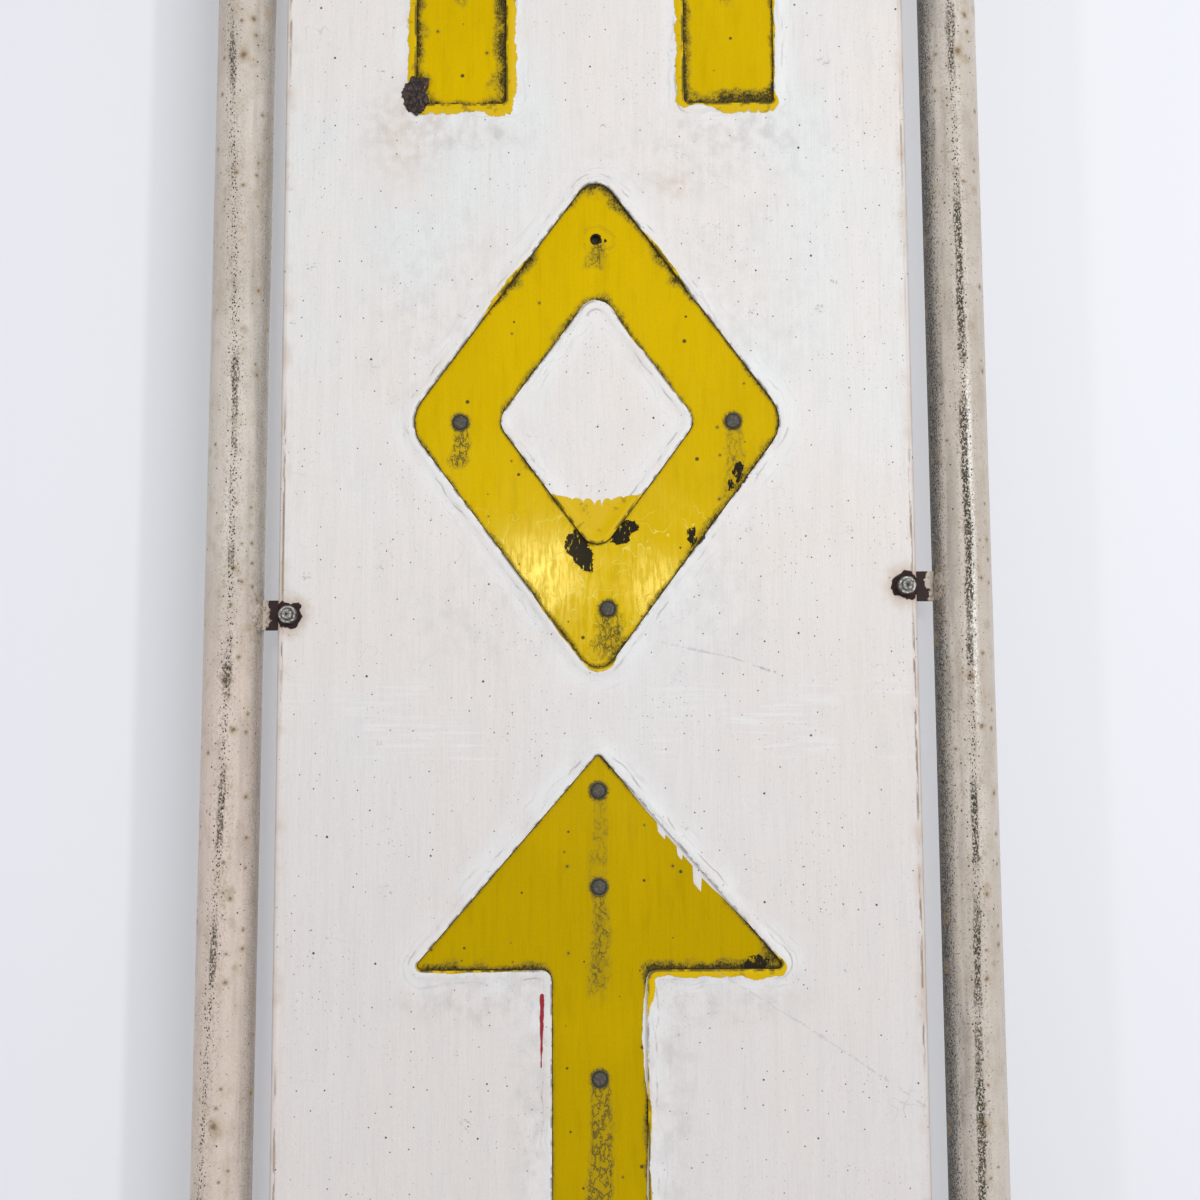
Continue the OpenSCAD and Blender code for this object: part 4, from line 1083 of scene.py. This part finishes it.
print("white laps")
laps = {
    "shape": "arrow", "depth": 0.34, "sunk": 0.05, "spacing": 0.8, "edgeStep": 0.9, "gridGap": 0.3,
    "rounding": 0.5, "edgeShare": 0.4,  # width of its rounded edge, and share of the depth at the very edge
    "tuck": 0.08, "waver": 0.35,  # how far it starts above the edge, and how uneven its lower side is
    # how far below the arrow's right edge the white paint has run: x from the shape's middle, run
    "runs": [(14, 0.3), (20, 1.6), (27, 2.4), (33, 2.2), (33.6, 6.4), (37.4, 6.8), (38, 3.4), (44, 3.0),
             (44.6, 7.4), (47, 7.6), (47.6, 3.8), (53, 3.6), (53.5, 12.8), (57.6, 13.2), (58.2, 4.6),
             (64, 3.8), (70, 2.0), (76, 1.4), (84, 0.3)],
}


def whiteLaps():
    loop = cutouts[laps["shape"]]
    mid = middle(loop)[0]

    def top(x):
        # Height of the shape's upper edge
        sides = zip(loop, np.roll(loop, -1, 0))
        return max(a[1] + (b[1] - a[1]) * (x - a[0]) / (b[0] - a[0]) for a, b in sides
                   if (a[0] - x) * (b[0] - x) < 0)

    def foot(x, run):
        return top(mid + x) - run + laps["waver"] * noise.noise(Vector((x, 5, run)))

    places = np.arange(laps["runs"][0][0], laps["runs"][-1][0], 1.5)
    upper = [(mid + x, top(mid + x) + laps["tuck"]) for x in places]
    lower = [(mid + x, foot(x, run)) for x, run in laps["runs"]]
    outline = spaced(np.array(upper + lower[::-1]), laps["edgeStep"])
    own = Outlines([outline])
    xs, zs = (np.arange(low, high, laps["spacing"]) for low, high in zip(outline.min(0), outline.max(0)))
    grid = np.array([(x, z) for x in xs for z in zs])
    grid = grid[own.inside(grid) & (own.nearest(grid)[0] > laps["gridGap"])]
    flat, faces = triangles(grid, [outline], own.inside)
    thin = laps["edgeShare"]
    swell = thin + (1 - thin) * np.clip(own.nearest(flat)[0] / laps["rounding"], 0, 1) ** 0.5
    depth = plateDepth + yellow["thickness"] + laps["depth"] * swell
    skin("whiteLaps", flat, depth, faces, None, {}, whiteSheet, laps["depth"] + laps["sunk"])


whiteLaps()

print("rust blister")
blister = {
    "shape": "house", "place": (-106, 5.5), "size": (7.8, 2.0, 11.8), "depth": 4.1,  # half sizes, mm
    "lumps": ((6.0, 0.45), (1.0, 0.1)), "bubble": 2.6, "swell": 1.1,  # size in mm and strength
    "base": (0.036, 0.019, 0.018), "crestHighlight": (0.12, 0.065, 0.06), "hollow": (0.010, 0.007, 0.007),
    "red": (0.10, 0.035, 0.022), "tan": (0.25, 0.17, 0.10),
}


def lumpy(point, lumps, shift=0.0):
    # A share of growth from several sizes of noise
    return 1 + sum(k * noise.noise(Vector(point) / size + Vector((shift, 0, 0))) for size, k in lumps)


def blisteredRust():
    f = Finish("blisteredRust", blister, "base", 0.6)
    hollow = f.value("hollow")
    # painted highlight on the crests and painted shade in the hollows of the lumps
    f.layer(hollow.rise(0.3, 0.05, 0, 0.7), "crestHighlight", 0.45)
    f.layer(hollow.rise(0.42, 0.58), "hollow", 0.8)
    f.layer(f.patch(2.2, 0.56, 0.66, detail=4, shift=1, most=0.7), "red")
    f.layer(f.patch(1.5, 0.64, 0.68, 2, 4, shift=3, most=0.8), "tan")
    f.layer(f.noise(0.7, shift=4), lift=0.35)
    return f.done()


def footRust():
    [(x, z)] = placed(**{blister["shape"]: [blister["place"]]})
    place = Vector((x, -blister["depth"], z))
    bpy.ops.object.select_all(action="DESELECT")
    bpy.ops.mesh.primitive_ico_sphere_add(subdivisions=6, radius=1)
    piece = bpy.context.object
    piece.name = "footRust"
    hollows = piece.data.attributes.new("hollow", "FLOAT", "POINT").data
    for v, hollow in zip(piece.data.vertices, hollows):
        spread = v.co * Vector(blister["size"])
        hollow.value = noise.voronoi(spread / blister["bubble"])[0][0]
        swell = v.co * blister["swell"] * (0.5 - hollow.value)
        v.co = (place + spread * lumpy(spread, blister["lumps"]) + swell) * mm
    finishPiece(piece, blisteredRust())


footRust()

print("welds")
welds = {
    "tabLump": (6.6, 3.2, 10.8),  # half sizes, mm
    "tabTurn": 69, "tabRise": 0.9,  # degrees round from the front or the back, and mm above the tube
    "tabLumps": ((7.0, 0.2), (2.6, 0.14)), "beadLumps": ((5.0, 0.16), (1.8, 0.10)),  # size and strength
    "beadRadius": 2.2, "sides": 10, "ringSteps": 72, "step": 1.6,  # places round a tube, mm along a gusset
    "ripple": 2.6, "rippleDepth": 0.08,  # places from one ripple to the next, and share of the radius
    "endShare": 0.45, "endGain": 0.25,  # share of the radius at an open end, and gained at each place
    "runEnds": (4, 1), "dropEnds": (2, 2),  # mm of a gusset's two joints left free at their ends
    "plateRise": 0.4, "armSink": 0.1,  # mm off the plate's face, and into the arm
}


def tabWelds(name, axisAt, side, paint):
    # A painted lump at the front and the back of each tab, where it meets its upright
    turn = math.radians(welds["tabTurn"])
    across, thick, tall = welds["tabLump"]
    bpy.ops.object.select_all(action="DESELECT")
    lumps = []
    for z in boltsBeside(side):
        for front in (-1, 1):
            bpy.ops.mesh.primitive_ico_sphere_add(subdivisions=4, radius=1)
            lump = bpy.context.object
            out = Vector((side * math.sin(turn), front * math.cos(turn), 0))
            along = Vector((0, 0, 1)).cross(out)
            place = Vector((axisAt(z), 0, z)) + out * (tubeRadius + welds["tabRise"] - thick)
            for v in lump.data.vertices:
                spread = along * v.co.x * across + out * v.co.y * thick + Vector((0, 0, v.co.z * tall))
                v.co = (place + spread * lumpy(spread, welds["tabLumps"], z * front)) * mm
            lumps.append(lump)
    for lump in lumps:
        lump.select_set(True)
    bpy.context.view_layer.objects.active = lumps[0]
    bpy.ops.object.join()
    piece = lumps[0]
    piece.name = name
    piece.data.flip_normals()  # along, out and up are left-handed, which turned the lumps inside out
    finishPiece(piece, paint)


def bead(points, outs, closed, vertices, faces):
    # Adds a rippled bead along the points to the vertices and faces; outs point away from the joint
    points, outs = np.array(points, float), np.array(outs, float)
    count, sides, first = len(points), welds["sides"], len(vertices)
    ahead = np.roll(points, -1, 0) - np.roll(points, 1, 0) if closed else np.gradient(points, axis=0)
    across = np.cross(ahead / np.linalg.norm(ahead, axis=1)[:, None], outs)
    for k in range(count):
        size = welds["beadRadius"] * (1 + welds["rippleDepth"] * math.sin(2 * math.pi * k / welds["ripple"]))
        if not closed:
            size *= min(1, welds["endShare"] + welds["endGain"] * min(k, count - 1 - k))
        for c, s in circle((0, 0), 1, sides):
            spread = (outs[k] * c + across[k] * s) * size
            vertices.append(points[k] + spread * lumpy(points[k] + spread, welds["beadLumps"]))
    for k in range(count if closed else count - 1):
        a, b = first + k * sides, first + (k + 1) % count * sides
        for j in range(sides):
            after = (j + 1) % sides
            faces.append((a + j, a + after, b + after, b + j))
    if not closed:
        faces.append(tuple(first + j for j in reversed(range(sides))))
        faces.append(tuple(first + (count - 1) * sides + j for j in range(sides)))


def frameWelds():
    vertices, faces = [], []
    r, step = tubeRadius, welds["step"]
    ring = circle((0, 0), 1, welds["ringSteps"])
    ends = ((leftLow, 0, 1), (leftHigh, armHigh, -1), (rightAxis, 0, 1), (rightAxis, armHigh, -1))
    for axis, z, up in ends:
        around = [(axis + r * c, r * s, z + up * r * abs(c)) for c, s in ring]
        bead(around, [(c, s, 0) for c, s in ring], True, vertices, faces)
    plate = boxOf("lower_wall_plate")[1].x
    low, high = boxOf("lower_gusset")
    (plateEnd, tipEnd), (armEnd, footEnd) = welds["runEnds"], welds["dropEnds"]
    run = np.arange(plate + plateEnd, high.x - tipEnd, step)
    drop = np.arange(-r - armEnd, low.z + footEnd, -step)
    outs = [(0, s, c) for c, s in ring]
    for z in (0, armHigh):
        around = [(plate + welds["plateRise"], r * s, z + r * c) for c, s in ring]
        bead(around, outs, True, vertices, faces)
        for side in (-1, 1):
            y = side * high.y
            under, beside = Vector((0, side, -1)).normalized(), Vector((1, side, 0)).normalized()
            level = z - r + welds["armSink"]
            bead([(x, y, level) for x in run], [under] * len(run), False, vertices, faces)
            bead([(plate, y, z + d) for d in drop], [beside] * len(drop), False, vertices, faces)
    piece = newPiece("frameWelds", vertices, faces)
    bpy.ops.object.mode_set(mode="EDIT")
    bpy.ops.mesh.select_all(action="SELECT")
    bpy.ops.mesh.normals_make_consistent(inside=False)
    bpy.ops.object.mode_set(mode="OBJECT")
    finishPiece(piece, creamSteel)


tabWelds("leftTabWelds", lambda z: leftLow + leftLean * z, 1, weldPaint("leftWeldPaint", 0.95, 0.45))
tabWelds("rightTabWelds", lambda z: rightAxis, -1, weldPaint("rightWeldPaint", 0.72, 0.75))
frameWelds()

print("stage")
studio = {
    "wallGap": 55, "floorDrop": 260, "planeSize": 8, "planeHeight": 1.0,  # mm, mm, m, m
    "wallColour": (0.825, 0.845, 0.90), "background": (0.82, 0.84, 0.89), "sky": (0.97, 0.985, 1),
    "lampAim": 1150,  # mm, the height that every lamp looks at
    "fill": 0.61, "dark": 0.28,  # the room at the sides, and behind the camera and the wall
    "fade": (0.72, 0.93),  # where the one passes into the other
}
lamps = {
    # place in mm, width and height in m, watts, colour
    "keyLamp": ((1500, -2300, 2200), (1.1, 1.1), 20.5, (1.0, 0.985, 0.965)),
    "panelGloss": ((331, -2000, 1364), (0.36, 0.16), 5.5, (1.0, 0.98, 0.95)),
    "rightStrip": ((1660, -1680, 1180), (0.10, 1.2), 8, (1, 1, 1)),
    "leftStrip": ((-1350, -1500, 1150), (0.12, 1.4), 5, (1, 1, 1)),
    "backLamp": ((900, 2600, 2000), (1.6, 1.6), 30, (1, 1, 1)),
}


def stageFinish(name, colour):
    # Shows from its front only, and only to the camera and in reflections
    material = bpy.data.materials.new(name)
    material.use_nodes = True
    tree = material.node_tree
    paint = tree.nodes["Principled BSDF"]
    feed(tree, paint.inputs["Base Color"], colour)
    feed(tree, paint.inputs["Roughness"], 0.9)
    ray = addNode(tree, "LightPath").outputs
    behind = addNode(tree, "NewGeometry").outputs["Backfacing"]
    seen = addNode(tree, "Math", ray["Is Camera Ray"], ray["Is Glossy Ray"], operation="MAXIMUM").outputs[0]
    front = addNode(tree, "Math", seen, behind, operation="SUBTRACT", use_clamp=True).outputs[0]
    clear = addNode(tree, "BsdfTransparent").outputs[0]
    mix = addNode(tree, "MixShader", front, clear, paint.outputs[0])
    feed(tree, tree.nodes["Material Output"].inputs["Surface"], mix.outputs[0])
    return material


def addStage():
    bpy.ops.object.select_all(action="DESELECT")
    places = (("backdrop", (panelMid * mm, studio["wallGap"] * mm, studio["planeHeight"]), math.radians(90)),
              ("floor", (panelMid * mm, 0, -studio["floorDrop"] * mm), 0))
    for name, place, tilt in places:
        bpy.ops.mesh.primitive_plane_add(size=studio["planeSize"], location=place, rotation=(tilt, 0, 0))
        sheet = bpy.context.object
        sheet.name = name
        sheet.data.materials.append(stageFinish(name + "Paint", studio["wallColour"]))


def addRoom():
    # Soft light from all round, with a plain pale background for the camera
    world = bpy.data.worlds.new("studio")
    bpy.context.scene.world = world
    world.use_nodes = True
    tree = world.node_tree
    light = tree.nodes["Background"]
    way = addNode(tree, "SeparateXYZ", addNode(tree, "TexCoord").outputs["Generated"]).outputs[1]
    ahead = addNode(tree, "Math", way, operation="ABSOLUTE").outputs[0]
    level = addNode(tree, "MapRange", ahead, *studio["fade"], studio["fill"], studio["dark"],
                    interpolation_type="SMOOTHSTEP")
    feed(tree, light.inputs["Color"], studio["sky"])
    feed(tree, light.inputs["Strength"], level.outputs["Result"])
    shown = addNode(tree, "Background", studio["background"]).outputs[0]
    camera = addNode(tree, "LightPath").outputs["Is Camera Ray"]
    mix = addNode(tree, "MixShader", camera, light.outputs[0], shown)
    feed(tree, tree.nodes["World Output"].inputs["Surface"], mix.outputs[0])


def addLamps():
    aim = Vector((panelMid, 0, studio["lampAim"]))
    for name, (place, size, watts, colour) in lamps.items():
        place = Vector(place)
        bpy.ops.object.light_add(type="AREA", location=place * mm)
        lamp = bpy.context.object
        lamp.name = name
        lamp.data.shape = "RECTANGLE"
        lamp.data.size, lamp.data.size_y = size
        lamp.data.energy = watts
        lamp.data.color = colour
        lamp.rotation_euler = (aim - place).to_track_quat("-Z", "Y").to_euler()


addStage()
addRoom()
addLamps()
bpy.context.scene.view_settings.view_transform = "Standard"
